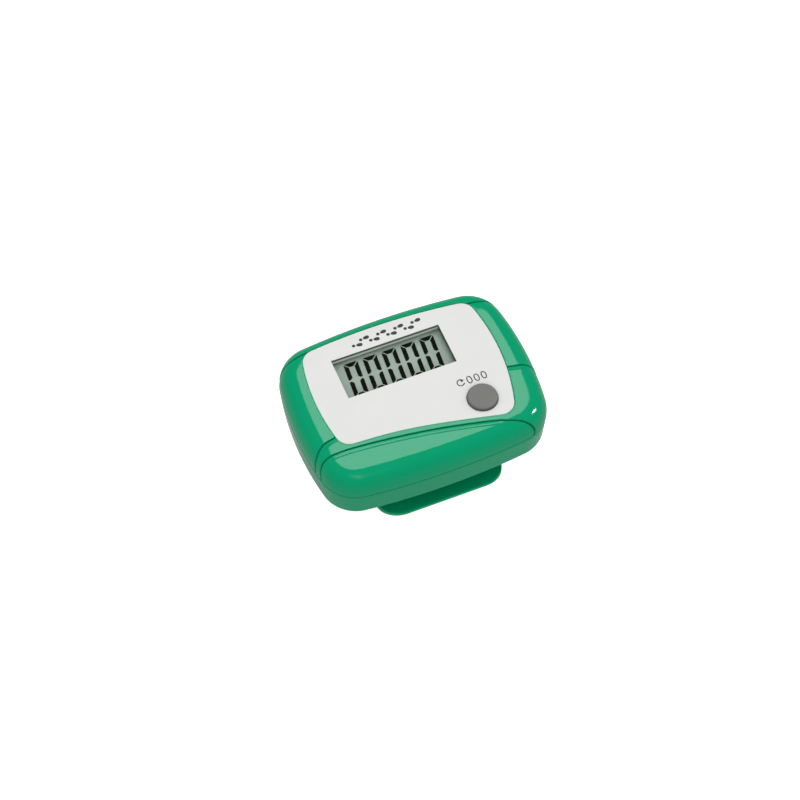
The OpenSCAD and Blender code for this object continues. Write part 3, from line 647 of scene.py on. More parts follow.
def back_shell():
    """The back's drafted side and rounded edge around the CAD's inside, recesses and hinge ears."""
    places = PARTING.around((40, 48, 48))
    bm = bmesh.new()
    levels = [(rounded(t, SEAM_R), PARTING_Z - t) for t in (0, 0.04, 0.1, SEAM_R)]
    side_h = PARTING_Z - BACK_Z - BACK_EDGE_R
    levels += [(BACK_DRAFT * share, PARTING_Z - side_h * share) for share in (0.25, 0.5, 0.75, 1)]
    levels += [(BACK_DRAFT + e, BACK_Z + rise) for e, rise in round_over(BACK_EDGE_R, 8)]
    rings = [ring_of(bm, PARTING.ring(places, -e), z) for e, z in levels]
    bridge(bm, *rings)
    add_inside(bm, "back_case", {PARTING_Z: rings[0], BACK_Z: rings[-1]})
    return finished("back_shell", bm)


# ---- face plate and its print

PLATE_EDGE = 0.1
PLATE_SHIFT = Vector((-0.03, -0.02))  # the plate lies a little off the middle of its recess


def plate(outline):
    """The printed plate: a softened upper edge, the button hole and a folded window edge."""
    bm = bmesh.new()
    edge = [(0, FACE_Z - PLATE_EDGE)]
    edge += [(e, FACE_Z - short) for e, short in round_over(PLATE_EDGE, 3)]
    plain = [(0, PLATE_LOW)]
    folded = [(FOLD, PLATE_LOW), (0, RECESS_Z + TOUCH)]
    loops = [(plain, lambda e: grown(outline, -e)),
             (folded, lambda e: box_ring(WINDOW, WINDOW_W + 2 * e, WINDOW_H + 2 * e)),
             (plain, lambda e: round_ring(BUTTON, HOLE_R + e, BUTTON_STEPS))]
    ends = []
    outline = [p + PLATE_SHIFT for p in outline]
    for foot, loop in loops:
        rings = [ring_of(bm, loop(e), z) for e, z in foot + edge]
        bridge(bm, *rings)
        ends.append((rings[0], rings[-1]))
    for level in zip(*ends):
        fill(bm, [e for ring in level for e in ring_edges(bm, ring)])
    # the plate's window edge gets a painted shade
    paint_window_walls(bm, RECESS_Z, FACE_Z - PLATE_EDGE / 2)
    return finished("printed_plate", bm, 50)


GLASS_EDGE = 0.03  # bevel of the display's sheet


def display_window():
    """The display's front glass with its film laid on it, as one clear sheet with a step."""
    lift = Vector((0, 0, TOUCH))
    low, high = corners("lcd_front_glass")
    obj = block("display_window", low + lift, high)
    low, high = corners("lcd_polarizer")
    combine(obj, block("film", low - 2 * lift, high), "UNION")
    bevel_edges(obj, GLASS_EDGE, 1)
    for f in obj.data.polygons:
        f.material_index = int(f.center.z > low.z + TOUCH / 2)
    smooth(obj)
    return obj


PRINT_T = 0.02  # how far the print stands out of the plate
PEN = 0.22  # width of its lines


def prism(bm, points, top_z, low_z):
    top = ring_of(bm, points, top_z)
    low = ring_below(bm, top, low_z)
    bm.faces.new(top)
    bm.faces.new(list(reversed(low)))


def print_patch(bm, points):
    """A thin raised patch of ink on the plate."""
    prism(bm, points, FACE_Z + PRINT_T, FACE_Z - PRINT_T)


def turned(points, degrees, place):
    t = radians(degrees)
    c, s = cos(t), sin(t)
    return [place + Vector((c * p.x - s * p.y, s * p.x + c * p.y)) for p in points]


def draw(bm, line, w, closed=False):
    """A line drawn in ink with a pen of width w."""
    sides = [w / 2 * rightwards(line, k, closed) for k in range(len(line))]
    edges = [(p - side, p + side) for p, side in zip(line, sides)]
    for one, two in zip(edges, edges[1:] + edges[:1] if closed else edges[1:]):
        print_patch(bm, [*one, *reversed(two)])


MARK_COUNT = 8
MARK_PITCH = 1.86
MARK_START = Vector((-6.6, 13.45))
MARK_ASIDE = 0.52  # each mark's distance from the row's middle line
MARK_TURN = 7  # and its turn, in degrees
# sole and heel: middle, half length, half width and taper
MARK_OVALS = ((0.42, 0.66, 0.40, 0.07), (-0.78, 0.36, 0.33, 0))


def step_marks():
    """A row of small shoe soles above the window, left and right by turns."""
    bm = bmesh.new()
    for k in range(MARK_COUNT):
        side = 1 if k % 2 else -1
        place = MARK_START + Vector((k * MARK_PITCH, MARK_ASIDE * side))
        for mid, half_l, half_w, taper in MARK_OVALS:
            oval = [Vector((half_l * cos(t) + mid, (half_w + taper * cos(t)) * sin(t)))
                    for t in full_turn(24)]
            print_patch(bm, turned(oval, MARK_TURN * side, place))
    return finished("step_marks", bm)


ZERO_UP = 4.9  # height of the marks over the button
ARROW_X = -2.6
ARROW_R = 0.72
ARROW_FROM = 50  # where the arrow's arc starts and how far it runs, in degrees
ARROW_RUN = 290
ARROW_HEAD = (Vector((-0.42, 0)), Vector((0.42, 0)), Vector((0, 0.6)))
ZERO_X = -0.7
ZERO_PITCH = 1.55
ZERO_HALF = (0.46, 0.78)
ZERO_POWER = 0.8  # below 1 for squarer sides than an oval's


def zero_marks():
    """A turned-back arrow and three noughts over the button."""
    bm = bmesh.new()
    mid = BUTTON + Vector((ARROW_X, ZERO_UP))
    angles = [radians(ARROW_FROM + ARROW_RUN * i / 28) for i in range(29)]
    turn = [mid + ARROW_R * heading(t) for t in angles]
    draw(bm, turn, PEN)
    print_patch(bm, turned(ARROW_HEAD, 160, turn[0]))
    half_w, half_h = ZERO_HALF
    for k in range(3):
        place = BUTTON + Vector((ZERO_X + k * ZERO_PITCH, ZERO_UP))
        ring = []
        for t in full_turn(32):
            across = half_w * copysign(abs(cos(t)) ** ZERO_POWER, cos(t))
            ring.append(place + Vector((across, half_h * sin(t))))
        draw(bm, ring, PEN, closed=True)
    return finished("zero_marks", bm)


DIGITS = 5
DIGIT_PITCH = 4.1
DIGIT_W = 3.0
DIGIT_H = 8.2
DIGIT_LEAN = tan(radians(4.5))
STROKE_W = 0.88
CUT = 0.18  # set-back of each segment at the digit's corners
WAIST = 0.25  # half the gap between the upper and the lower posts
BEVEL = 0.4  # inner corner cut off each post at the waist


def digit_marks():
    """The five noughts on the display: four leaning posts and two bars to a digit."""
    bm = bmesh.new()
    low, high = corners("lcd_segments")
    mid = middle("lcd_segments").to_2d()
    w, h = DIGIT_W / 2, DIGIT_H / 2
    inner = w - STROKE_W
    post = [(w, WAIST), (w, h - CUT), (inner, h - CUT - STROKE_W), (inner, WAIST + BEVEL),
            (inner + BEVEL, WAIST)]
    bar = [(w - CUT, h), (CUT - w, h), (CUT - inner, h - STROKE_W), (inner - CUT, h - STROKE_W)]
    segments = [(post, sx, sy) for sx in (1, -1) for sy in (1, -1)]
    segments += [(bar, 1, sy) for sy in (1, -1)]
    for k in range(DIGITS):
        place = mid + Vector(((k - (DIGITS - 1) / 2) * DIGIT_PITCH, 0))
        for shape, sx, sy in segments:
            points = [place + Vector((sx * x + DIGIT_LEAN * sy * y, sy * y)) for x, y in shape]
            prism(bm, points, high.z, low.z)
    return finished("digit_marks", bm)


# ---- pieces modelled by hand operations

def edit(obj):
    activate(obj)
    bpy.ops.object.mode_set(mode="EDIT")
    bpy.ops.mesh.select_mode(type="VERT")


def leave():
    bpy.ops.object.mode_set(mode="OBJECT")


def pick_points(obj, test):
    """Selects the points whose place passes a test, in edit mode."""
    leave()
    for v in obj.data.vertices:
        v.select = test(v.co)
    for e in obj.data.edges:
        e.select = all(obj.data.vertices[i].select for i in e.vertices)
    for f in obj.data.polygons:
        f.select = False
    edit(obj)


def slab(name, outline, x_low, x_high):
    """A piece between two planes across X, from its outline in Y and Z."""
    bm = bmesh.new()
    ends = [[bm.verts.new((x, y, z)) for y, z in outline] for x in (x_low, x_high)]
    bridge(bm, *ends)
    for ring in ends:
        bm.faces.new(ring)
    bmesh.ops.recalc_face_normals(bm, faces=bm.faces)
    return object_from(name, bm)


def new_primitive(add, name, **settings):
    deselect()
    add(**settings)
    obj = bpy.context.active_object
    obj.name = name
    bpy.ops.object.transform_apply(location=True, rotation=True, scale=True)
    return obj


def block(name, low, high):
    mid = [(a + b) / 2 for a, b in zip(low, high)]
    obj = new_primitive(bpy.ops.mesh.primitive_cube_add, name, size=1, location=mid)
    for v in obj.data.vertices:
        v.co = [b if c > m else a for c, m, a, b in zip(v.co, mid, low, high)]
    return obj


def combine(obj, other, operation):
    apply_modifier(obj, "BOOLEAN", object=other, operation=operation, solver="EXACT")
    bpy.data.objects.remove(other)


def bevel_edges(obj, width, segments=3, degrees=50):
    apply_modifier(obj, "BEVEL", width=width, segments=segments, limit_method="ANGLE",
                   angle_limit=radians(degrees))


CLIP_T = 1.8
TIP_RUN = 9.5  # length of the stretch that bends up at the tip, its rise and its last thickness
TIP_RISE = 1.9
TIP_T = 0.8
LEVER_RUN = 5.6  # the same at the lever, which keeps its thickness
LEVER_RISE = 1.584
TIP_CORNER = 5.0
LEVER_CORNER = 6.0
LUG_IN = 7.16  # inner and outer face of the hinge lugs
LUG_OUT = 9.16
EAR_R = 2.0
RIDGE_Y = -13.4
RIDGE_R = 0.8
RIDGE_HALF = 10.1
RIDGE_TILT = 0.3  # slant of the ridge's foot along the rising blade
RIDGE_ROUND = 0.25
PIN_R = 0.9
BLADE_ROUND = 0.3
TIP_CUTS = 18  # rows of edges across each bent stretch
LEVER_CUTS = 12
CUT_SHIFT = 0.37  # keeps those rows off the edges that are there already


def curve_rise(at, run, rise):
    """Rise of an arc that leaves a flat and has risen by rise at the end of its run."""
    r = (run * run + rise * rise) / (2 * rise)
    return r - sqrt(r * r - at * at)


def blade_rise(y, tip_y, lever_y):
    """Rise of the blade's lower and upper face at a place along it."""
    if y < tip_y + TIP_RUN:
        at = tip_y + TIP_RUN - y
        return curve_rise(at, TIP_RUN, TIP_RISE), curve_rise(at, TIP_RUN, TIP_RISE + TIP_T - CLIP_T)
    if y > lever_y - LEVER_RUN:
        return (curve_rise(y - lever_y + LEVER_RUN, LEVER_RUN, LEVER_RISE),) * 2
    return 0, 0


def clip():
    """The belt clip: a plate bent up at its tip and lever, with hinge lugs and a grip ridge."""
    low, high = corners("belt_clip")
    half_w, tip_y, lever_y = high.x, low.y, high.y
    obj = new_primitive(bpy.ops.mesh.primitive_plane_add, "clip_blade", size=2)
    for v in obj.data.vertices:
        v.co = (copysign(half_w, v.co.x), lever_y if v.co.y > 0 else tip_y, 0)
    pick_points(obj, lambda co: co.y < 0)
    bpy.ops.mesh.bevel(offset=TIP_CORNER, segments=14, affect="VERTICES")
    pick_points(obj, lambda co: co.y > lever_y - 0.01)
    bpy.ops.mesh.bevel(offset=LEVER_CORNER, segments=14, affect="VERTICES")
    bpy.ops.mesh.select_all(action="SELECT")
    bpy.ops.mesh.extrude_region_move(TRANSFORM_OT_translate={"value": (0, 0, CLIP_T)})
    leave()
    bevel_edges(obj, BLADE_ROUND, 4)
    edit(obj)
    cuts = [tip_y + TIP_RUN * (i + CUT_SHIFT) / TIP_CUTS for i in range(TIP_CUTS)]
    cuts += [lever_y - LEVER_RUN * (i + CUT_SHIFT) / LEVER_CUTS for i in range(LEVER_CUTS)]
    for y in cuts:
        bpy.ops.mesh.select_all(action="SELECT")
        bpy.ops.mesh.bisect(plane_co=(0, y, 0), plane_no=(0, 1, 0))
    leave()
    for v in obj.data.vertices:
        lower, upper = blade_rise(v.co.y, tip_y, lever_y)
        v.co.z += lower + (upper - lower) * v.co.z / CLIP_T

    sink = CLIP_T / 2
    rise = blade_rise(RIDGE_Y, tip_y, lever_y)[0]
    top = high.z - RIDGE_R
    arc = [pi * i / 16 for i in range(17)]
    ridge = [(RIDGE_Y + RIDGE_R * cos(t), top + RIDGE_R * sin(t)) for t in arc]
    ridge += [(RIDGE_Y + side * 2 * RIDGE_R, rise + sink - side * RIDGE_TILT) for side in (-1, 1)]
    piece = slab("ridge", ridge, -RIDGE_HALF, RIDGE_HALF)
    bevel_edges(piece, RIDGE_ROUND, 3, 60)
    combine(obj, piece, "UNION")
    lug = [(PIN.y + EAR_R * cos(t), PIN.z + EAR_R * sin(t)) for t in arc]
    lug += [(PIN.y - EAR_R, sink), (PIN.y + EAR_R, sink)]
    for side in (-1, 1):
        ends = sorted((side * LUG_IN, side * LUG_OUT))
        combine(obj, slab("lug", lug, *ends), "UNION")
    bore = new_primitive(bpy.ops.mesh.primitive_cylinder_add, "bore", vertices=64, radius=PIN_R,
                         depth=3 * LUG_OUT, location=PIN, rotation=(0, pi / 2, 0))
    combine(obj, bore, "DIFFERENCE")
    smooth(obj, 40)
    return obj


CAP_ROUND = 0.5
CAP_DISH = 0.04
SHADE_FULL = 0.5  # value of the depth attribute from which a surface has its full painted shade


def button_cap():
    """The button: a disc pulled up from its flange in rings, round at the rim and barely dished."""
    low, high = corners("reset_button")
    flange_r = high.x - BUTTON.x
    obj = new_primitive(bpy.ops.mesh.primitive_circle_add, "button_cap", vertices=BUTTON_STEPS,
                        radius=flange_r, fill_type="NGON", location=(BUTTON.x, BUTTON.y, low.z))
    edit(obj)
    profile = [(flange_r, CEILING_Z), (BUTTON_R, CEILING_Z), (BUTTON_R, high.z - CAP_ROUND)]
    profile += [(BUTTON_R - e, high.z - short) for e, short in round_over(CAP_ROUND, 8)]
    for share in (0.8, 0.6, 0.4, 0.2):
        profile.append(((BUTTON_R - CAP_ROUND) * share, high.z - CAP_DISH * (1 - share * share)))
    bpy.ops.mesh.select_all(action="SELECT")
    r, z = flange_r, low.z
    for new_r, new_z in profile:
        bpy.ops.mesh.extrude_region_move(TRANSFORM_OT_translate={"value": (0, 0, new_z - z)})
        if new_r != r:
            bpy.ops.transform.resize(value=(new_r / r, new_r / r, 1),
                                     center_override=(BUTTON.x, BUTTON.y, new_z))
        r, z = new_r, new_z
    bpy.ops.mesh.select_all(action="SELECT")
    bpy.ops.mesh.normals_make_consistent(inside=False)
    leave()
    smooth(obj, 50)
    # painted shade: the rounded rim and side get darker the further they lie below the top
    painted_shade = obj.data.attributes.new("depth_and_painted_shade", "FLOAT", "POINT")
    for i, v in enumerate(obj.data.vertices):
        painted_shade.data[i].value = SHADE_FULL * min((high.z - v.co.z) / CAP_ROUND, 1)
    return obj


def wire_piece(name, line, r):
    """A round wire along a line, made a mesh."""
    curve = bpy.data.curves.new(name, "CURVE")
    curve.dimensions = "3D"
    curve.bevel_depth = r
    curve.bevel_resolution = 4
    curve.use_fill_caps = True
    spline = curve.splines.new("POLY")
    spline.points.add(len(line) - 1)
    for point, place in zip(spline.points, line):
        point.co = (*place, 1)
    activate(linked(name, curve))
    bpy.ops.object.convert(target="MESH")
    obj = bpy.context.active_object
    bm = bmesh.new()
    bm.from_mesh(obj.data)
    bmesh.ops.remove_doubles(bm, verts=bm.verts, dist=1e-4)
    bmesh.ops.recalc_face_normals(bm, faces=bm.faces)
    bm.to_mesh(obj.data)
    bm.free()
    smooth(obj, 60)
    return obj


WIRE_R = 0.35
COIL_R = 1.5
COIL_HALF = 4.15  # half the coil's length along the pin
COIL_TURNS = 5.5
COIL_STEPS = 28  # points to a turn
LEG_LENGTH = 6.0
LEG_START = 0.6  # distance past the pin at which each leg runs straight
LEG_GAP = 0.1


def clip_coil():
    """The torsion spring round the pin: one leg rests on the back, the other on the lever."""
    leg_y = PIN.y + LEG_LENGTH
    lever_y = corners("belt_clip")[1].y
    leg_low = CLIP_T + blade_rise(leg_y, -lever_y, lever_y)[0] + WIRE_R + LEG_GAP
    count = round(COIL_TURNS * COIL_STEPS)
    line = [(-COIL_HALF, leg_y, BACK_Z - WIRE_R - LEG_GAP),
            (-COIL_HALF, PIN.y + LEG_START, PIN.z + COIL_R)]
    for i in range(count + 1):
        t = 2 * pi * i / COIL_STEPS
        x = -COIL_HALF + 2 * COIL_HALF * i / count
        line.append((x, PIN.y - COIL_R * sin(t), PIN.z + COIL_R * cos(t)))
    line += [(COIL_HALF, PIN.y + LEG_START, PIN.z - COIL_R), (COIL_HALF, leg_y, leg_low)]
    return wire_piece("clip_coil", line, WIRE_R)


# ---- shared surface effects

def tint(*screen, light=1):
    """A colour given as three screen values from 0 to 255."""
    shares = [c / 255 for c in screen]
    linear = [c / 12.92 if c <= 0.04045 else ((c + 0.055) / 1.055) ** 2.4 for c in shares]
    return (*[min(c * light, 1) for c in linear], 1)


class Sheet:
    """The nodes of a material or a group, with short calls to add and join them."""

    def __init__(self, tree):
        self.nodes, self.links = tree.nodes, tree.links

    def add(self, kind, inputs=(), **settings):
        node = self.nodes.new(kind)
        for key, value in settings.items():
            setattr(node, key, value)
        for key, value in dict(inputs).items():
            self.put(node, key, value)
        return node

    def put(self, node, key, value):
        """Joins a socket to an input, or sets the input to a constant."""
        if isinstance(value, bpy.types.NodeSocket):
            self.links.new(value, node.inputs[key])
        else:
            node.inputs[key].default_value = value

    def math(self, operation, a, b=0.0, clamp=False):
        node = self.add("ShaderNodeMath", {0: a, 1: b}, operation=operation, use_clamp=clamp)
        return node.outputs[0]

    def noise(self, vector, scale, detail=2.0, roughness=0.5):
        return self.add("ShaderNodeTexNoise", {"Vector": vector, "Scale": scale, "Detail": detail,
                                               "Roughness": roughness}).outputs["Fac"]

    def span(self, value, low, high, to_low=0.0, to_high=1.0):
        ends = {"Value": value, "From Min": low, "From Max": high, "To Min": to_low, "To Max": to_high}
        return self.add("ShaderNodeMapRange", ends).outputs["Result"]

    def spread(self, noise, low=0.0, high=1.0):
        """A noise, most of which lies between 0.3 and 0.7, spread between two values."""
        return self.span(noise, 0.3, 0.7, low, high)

    def stretched(self, vector, scale):
        return self.add("ShaderNodeMapping", {"Vector": vector, "Scale": scale}).outputs[0]

    def blended(self, factor, a, b):
        mix = self.add("ShaderNodeMix", {"Factor": factor}, data_type="RGBA")
        self.put(mix, 6, a)
        self.put(mix, 7, b)
        return mix.outputs[2]


def effect(name, inputs, outputs, build):
    """A shader node group: its inputs with their values, its outputs and the call that fills it."""
    tree = bpy.data.node_groups.new(name, "ShaderNodeTree")
    for key, value in inputs.items():
        socket = tree.interface.new_socket(key, in_out="INPUT", socket_type="NodeSocketFloat")
        socket.default_value = value
    for key in outputs:
        tree.interface.new_socket(key, in_out="OUTPUT", socket_type="NodeSocketFloat")
    sheet = Sheet(tree)
    source = tree.nodes.new("NodeGroupInput")
    place = tree.nodes.new("ShaderNodeTexCoord").outputs["Object"]
    sink = tree.nodes.new("NodeGroupOutput")
    for key, value in build(sheet, place, source.outputs).items():
        tree.links.new(value, sink.inputs[key])
    return tree


def fill_grain(sheet, place, given):
    """Fine grain of a moulded or printed skin, and slow unevenness over the whole piece."""
    fine = sheet.noise(place, given["Scale"], 3.0, 0.6)
    broad = sheet.noise(place, sheet.math("MULTIPLY", given["Scale"], 0.02), 2.0)
    return {"Fine": fine, "Broad": sheet.spread(broad)}


# scratches in two directions: how much the noise is stretched, and between which values they set in
SCRATCHES = (((9000, 700, 2500), 0.68, 0.75), ((800, 8000, 2500), 0.69, 0.76))


def fill_scuffs(sheet, place, given):
    """Thin short scratches, in loose patches."""
    runs = [sheet.span(sheet.noise(sheet.stretched(place, stretch), 1.0, 1.0), low, high)
            for stretch, low, high in SCRATCHES]
    lines = sheet.math("ADD", *runs, clamp=True)
    patches = sheet.span(sheet.noise(place, 160.0), 0.45, 0.65)
    mask = sheet.math("MULTIPLY", lines, patches)
    return {"Mask": sheet.math("MULTIPLY", mask, given["Amount"])}


def fill_brushing(sheet, place, given):
    """Fine drawn lines along the Y axis of a metal."""
    lines = sheet.noise(sheet.stretched(place, (14000, 500, 14000)), 1.0, 3.0, 0.7)
    return {"Lines": sheet.math("MULTIPLY", lines, given["Strength"])}


GRAIN = effect("grain", {"Scale": 4000.0}, ("Fine", "Broad"), fill_grain)
SCUFFS = effect("scuffs", {"Amount": 1.0}, ("Mask",), fill_scuffs)
BRUSHING = effect("brushing", {"Strength": 1.0}, ("Lines",), fill_brushing)


# ---- materials

def material(roughness, **sockets):
    mat = bpy.data.materials.new("finish")
    mat.use_nodes = True
    sheet = Sheet(mat.node_tree)
    shader = sheet.nodes["Principled BSDF"]
    sheet.put(shader, "Roughness", roughness)
    for key, value in sockets.items():
        sheet.put(shader, key.replace("_", " "), value)
    return mat, sheet, shader


def group(sheet, tree, **inputs):
    return sheet.add("ShaderNodeGroup", inputs, node_tree=tree).outputs


def bumped(sheet, shader, height, depth):
    """Relief of a height from 0 to 1 over a depth in millimetres."""
    bump = sheet.add("ShaderNodeBump", {"Height": height, "Distance": depth * MM, "Strength": 1.0})
    sheet.put(shader, "Normal", bump.outputs[0])


SCUFF_ROUGHNESS = 0.15  # what a scratch adds to the roughness, and its share of the relief
SCUFF_DEPTH = 0.5
HAZE = 0.1  # how much a clear sheet's density varies, as a share
LAYER_PITCH = 0.18  # pitch of the rubber connector's layers
TRACK_W = 0.12  # the board's tracks: their width and how far apart they run
TRACK_L = 3.1
TRACK_PITCH = 0.9


def moulded(colour, roughness, grain=4000.0, relief=0.004, uneven=0.05, rough_span=0.05, scuff=0.6,
            painted_shade=None, specular=0.5):
    """A moulded or printed skin: grain, changes of tone, scratches, and a painted shade where its
    depth attribute is high.
    """
    mat, sheet, shader = material(roughness, Specular_IOR_Level=specular)
    skin = group(sheet, GRAIN, Scale=grain)
    marks = group(sheet, SCUFFS, Amount=scuff)["Mask"]
    dark, light = tint(*colour, light=1 - uneven), tint(*colour, light=1 + uneven)
    tone = sheet.blended(skin["Broad"], dark, light)
    # painted shade: the colour darkens towards the shade colour where the piece lies deep, in the
    # shell's grooves and on the button's rim
    if painted_shade:
        depth = sheet.add("ShaderNodeAttribute", attribute_name="depth_and_painted_shade").outputs["Fac"]
        tone = sheet.blended(sheet.span(depth, 0.05, SHADE_FULL), tone, tint(*painted_shade))
    sheet.put(shader, "Base Color", tone)
    rough = sheet.spread(skin["Fine"], roughness - rough_span / 2, roughness + rough_span / 2)
    worn = sheet.math("ADD", rough, sheet.math("MULTIPLY", marks, SCUFF_ROUGHNESS), clamp=True)
    sheet.put(shader, "Roughness", worn)
    height = sheet.math("SUBTRACT", skin["Fine"], sheet.math("MULTIPLY", marks, SCUFF_DEPTH))
    bumped(sheet, shader, height, relief)
    return mat


def metal(colour, roughness, relief=0.003, stain=0.1):
    """A drawn or plated metal: fine lines, and slow stains in colour and gloss."""
    mat, sheet, shader = material(roughness, Metallic=1.0)
    lines = group(sheet, BRUSHING, Strength=1.0)["Lines"]
    skin = group(sheet, GRAIN, Scale=6000.0)
    tone = sheet.blended(skin["Broad"], tint(*colour, light=1 - stain), tint(*colour))
    sheet.put(shader, "Base Color", tone)
    sheet.put(shader, "Roughness", sheet.spread(lines, roughness - 0.06, roughness + 0.08))
    bumped(sheet, shader, lines, relief)
    return mat


def clear(colour, alpha, roughness):
    """A clear sheet that dims what lies under it, with faint haze."""
    mat, sheet, shader = material(roughness, Specular_IOR_Level=0.3)
    skin = group(sheet, GRAIN, Scale=3000.0)
    tone = sheet.blended(skin["Broad"], tint(*colour), tint(*colour, light=0.94))
    sheet.put(shader, "Base Color", tone)
    sheet.put(shader, "Alpha", sheet.spread(skin["Fine"], alpha * (1 - HAZE), alpha * (1 + HAZE)))
    bumped(sheet, shader, skin["Fine"], 0.001)
    return mat


def striped_rubber():
    """Layered connector: thin dark conducting layers in pink rubber."""
    mat, sheet, shader = material(0.55)
    place = sheet.add("ShaderNodeTexCoord").outputs["Object"]
    across = sheet.add("ShaderNodeSeparateXYZ", {0: place}).outputs["X"]
    layers = sheet.math("PINGPONG", sheet.math("MULTIPLY", across, 1 / (LAYER_PITCH * MM)), 0.5)
    mask = sheet.span(layers, 0.2, 0.26)
    tone = sheet.blended(mask, tint(228, 150, 158), tint(40, 38, 40))
    skin = group(sheet, GRAIN, Scale=5000.0)
    sheet.put(shader, "Base Color", tone)
    bumped(sheet, shader, sheet.math("ADD", mask, skin["Fine"]), 0.006)
    return mat


def laminate():
    """Solder mask over copper tracks: the tracks show lighter and stand a little proud."""
    mat, sheet, shader = material(0.32)
    place = sheet.add("ShaderNodeTexCoord").outputs["Object"]
    layout = {"Vector": place, "Scale": 1.0, "Mortar Size": TRACK_W * MM, "Mortar Smooth": 0.3,
              "Brick Width": TRACK_L * MM, "Row Height": TRACK_PITCH * MM}
    tracks = sheet.add("ShaderNodeTexBrick", layout, offset=0.37).outputs["Fac"]
    skin = group(sheet, GRAIN, Scale=2500.0)
    base = sheet.blended(skin["Broad"], tint(18, 82, 46), tint(26, 98, 56))
    sheet.put(shader, "Base Color", sheet.blended(tracks, base, tint(58, 138, 84)))
    sheet.put(shader, "Roughness", sheet.spread(skin["Fine"], 0.26, 0.38))
    bumped(sheet, shader, tracks, 0.03)
    return mat


FINISHES = {
    # the shade colours below are painted shade, in the shell's grooves and on the button's rounded rim
    "green_plastic": moulded((0, 163, 114), 0.07, 1500.0, 0.0012, uneven=0.02, rough_span=0.02,
                             scuff=0.25, painted_shade=(0, 128, 84), specular=0.22),
    "plate_print": moulded((236, 236, 234), 0.45, 9000.0, uneven=0.008, scuff=0.3, specular=0.3),
    # painted shade on the window's side walls and the plate's window edge, painted light on the
    # shell's front and back window walls
    "window_wall_painted_shade": moulded((100, 108, 102), 0.6, 9000.0, 0.003, specular=0.1),
    "window_wall_painted_light": moulded((218, 230, 220), 0.6, 9000.0, 0.003, specular=0.1),
    "adhesive": moulded((222, 216, 196), 0.6, 5000.0, 0.01),
    "button_plastic": moulded((126, 126, 123), 0.5, 7000.0, 0.006, uneven=0.015, painted_shade=(92, 92, 90),
                              specular=0.25),
    "silicone": moulded((222, 222, 216), 0.55),
    "carbon": moulded((34, 34, 35), 0.7, 9000.0, 0.01),
    "gold_plate": metal((222, 184, 96), 0.25),
    "film": clear((165, 184, 170), 0.004, 0.35),
    "display_glass": clear((200, 214, 206), 0.003, 0.08),
    "seal_resin": moulded((190, 190, 178), 0.45, 5000.0),
    "segment_black": moulded((4, 5, 4), 0.6, 9000.0, 0.001, scuff=0.0, specular=0.1),
    "reflector_film": moulded((167, 183, 172), 0.6, 12000.0, 0.003, scuff=0.0, specular=0.1),
    "white_plastic": moulded((236, 236, 231), 0.45),
    "zebra_rubber": striped_rubber(),
    "board_laminate": laminate(),
    "steel": metal((196, 198, 202), 0.28),
    "chip_resin": moulded((22, 22, 24), 0.22, 2500.0, 0.01),
    "ceramic": moulded((188, 164, 122), 0.5, 8000.0, 0.01),
    "cell_steel": metal((208, 208, 206), 0.2, stain=0.06),
    "arm_plastic": moulded((228, 222, 208), 0.42),
    "ink": moulded((72, 72, 72), 0.55, 12000.0, 0.003, uneven=0.1, scuff=0.0, specular=0.2),
}

for name, finish in FINISHES.items():
    finish.name = name + "_finish"
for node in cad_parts.values():
    for held in node.material_slots:
        held.material = FINISHES[held.material.name.split(".")[0]]
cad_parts["lcd_rear_glass"].material_slots[0].material = FINISHES["reflector_film"]


# ---- build

outline = plate_outline()
hand_over(front_shell(outline), "case", "green_plastic", "front_case",
          finishes=("green_plastic", "window_wall_painted_shade", "window_wall_painted_light"))
hand_over(back_shell(), "case", "green_plastic", "back_case")
hand_over(plate(outline), "case", "plate_print", "face_plate",
          finishes=("plate_print", "window_wall_painted_shade"))
hand_over(step_marks(), "case", "plate_print", finishes=("ink",))
hand_over(zero_marks(), "case", "plate_print", finishes=("ink",))
hand_over(display_window(), "case", "film", "lcd_front_glass", "lcd_polarizer",
          finishes=("display_glass", "film"))
hand_over(digit_marks(), "case", "segment_black", "lcd_segments")
hand_over(button_cap(), "button", "button_plastic", "reset_button")
hand_over(clip(), "clip", "green_plastic", "belt_clip")
coil = hand_over(clip_coil(), None, "steel", "clip_spring")
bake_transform(coil)


# ---- camera, lights and floor

# directions in degrees, from the front to the right and up; distances and lamp sizes in metres
AZIMUTH = -22.39
ELEVATION = 56.44
DISTANCE = 0.5438
LENS = 122.64
SHIFT = (0.00715, -0.0475)
TARGET = Vector((-1.302, 6.388, FACE_Z)) * MM


def aim(azimuth, elevation):
    a, e = radians(azimuth), radians(elevation)
    return Vector((sin(a) * cos(e), -cos(a) * cos(e), sin(e)))


def set_up(name, data, target, azimuth, elevation, distance):
    """A camera or a lamp that looks at its target from a direction and a distance."""
    obj = linked(name, data)
    obj.location = target + distance * aim(azimuth, elevation)
    obj.rotation_euler = aim(azimuth, elevation).to_track_quat("Z", "Y").to_euler()
    return obj


def make_camera():
    data = bpy.data.cameras.new("camera")
    data.lens = LENS
    data.sensor_width = 36
    data.shift_x, data.shift_y = SHIFT
    data.clip_start = 0.01
    bpy.context.scene.camera = set_up("camera", data, TARGET, AZIMUTH, ELEVATION, DISTANCE)


def lamp(name, azimuth, elevation, distance, width, height, radiance, diffuse=True, glossy=True,
         shape="RECTANGLE"):
    """An area lamp aimed at the middle of the face. Its power follows from how bright it looks."""
    data = bpy.data.lights.new(name, "AREA")
    data.shape = shape
    data.size, data.size_y = width, height
    area = width * height * (pi / 4 if shape == "ELLIPSE" else 1)
    data.energy = radiance * area * pi
    obj = set_up(name, data, Vector((0, 0, FACE_Z)) * MM, azimuth, elevation, distance)
    obj.visible_diffuse = diffuse
    obj.visible_glossy = glossy
    return obj


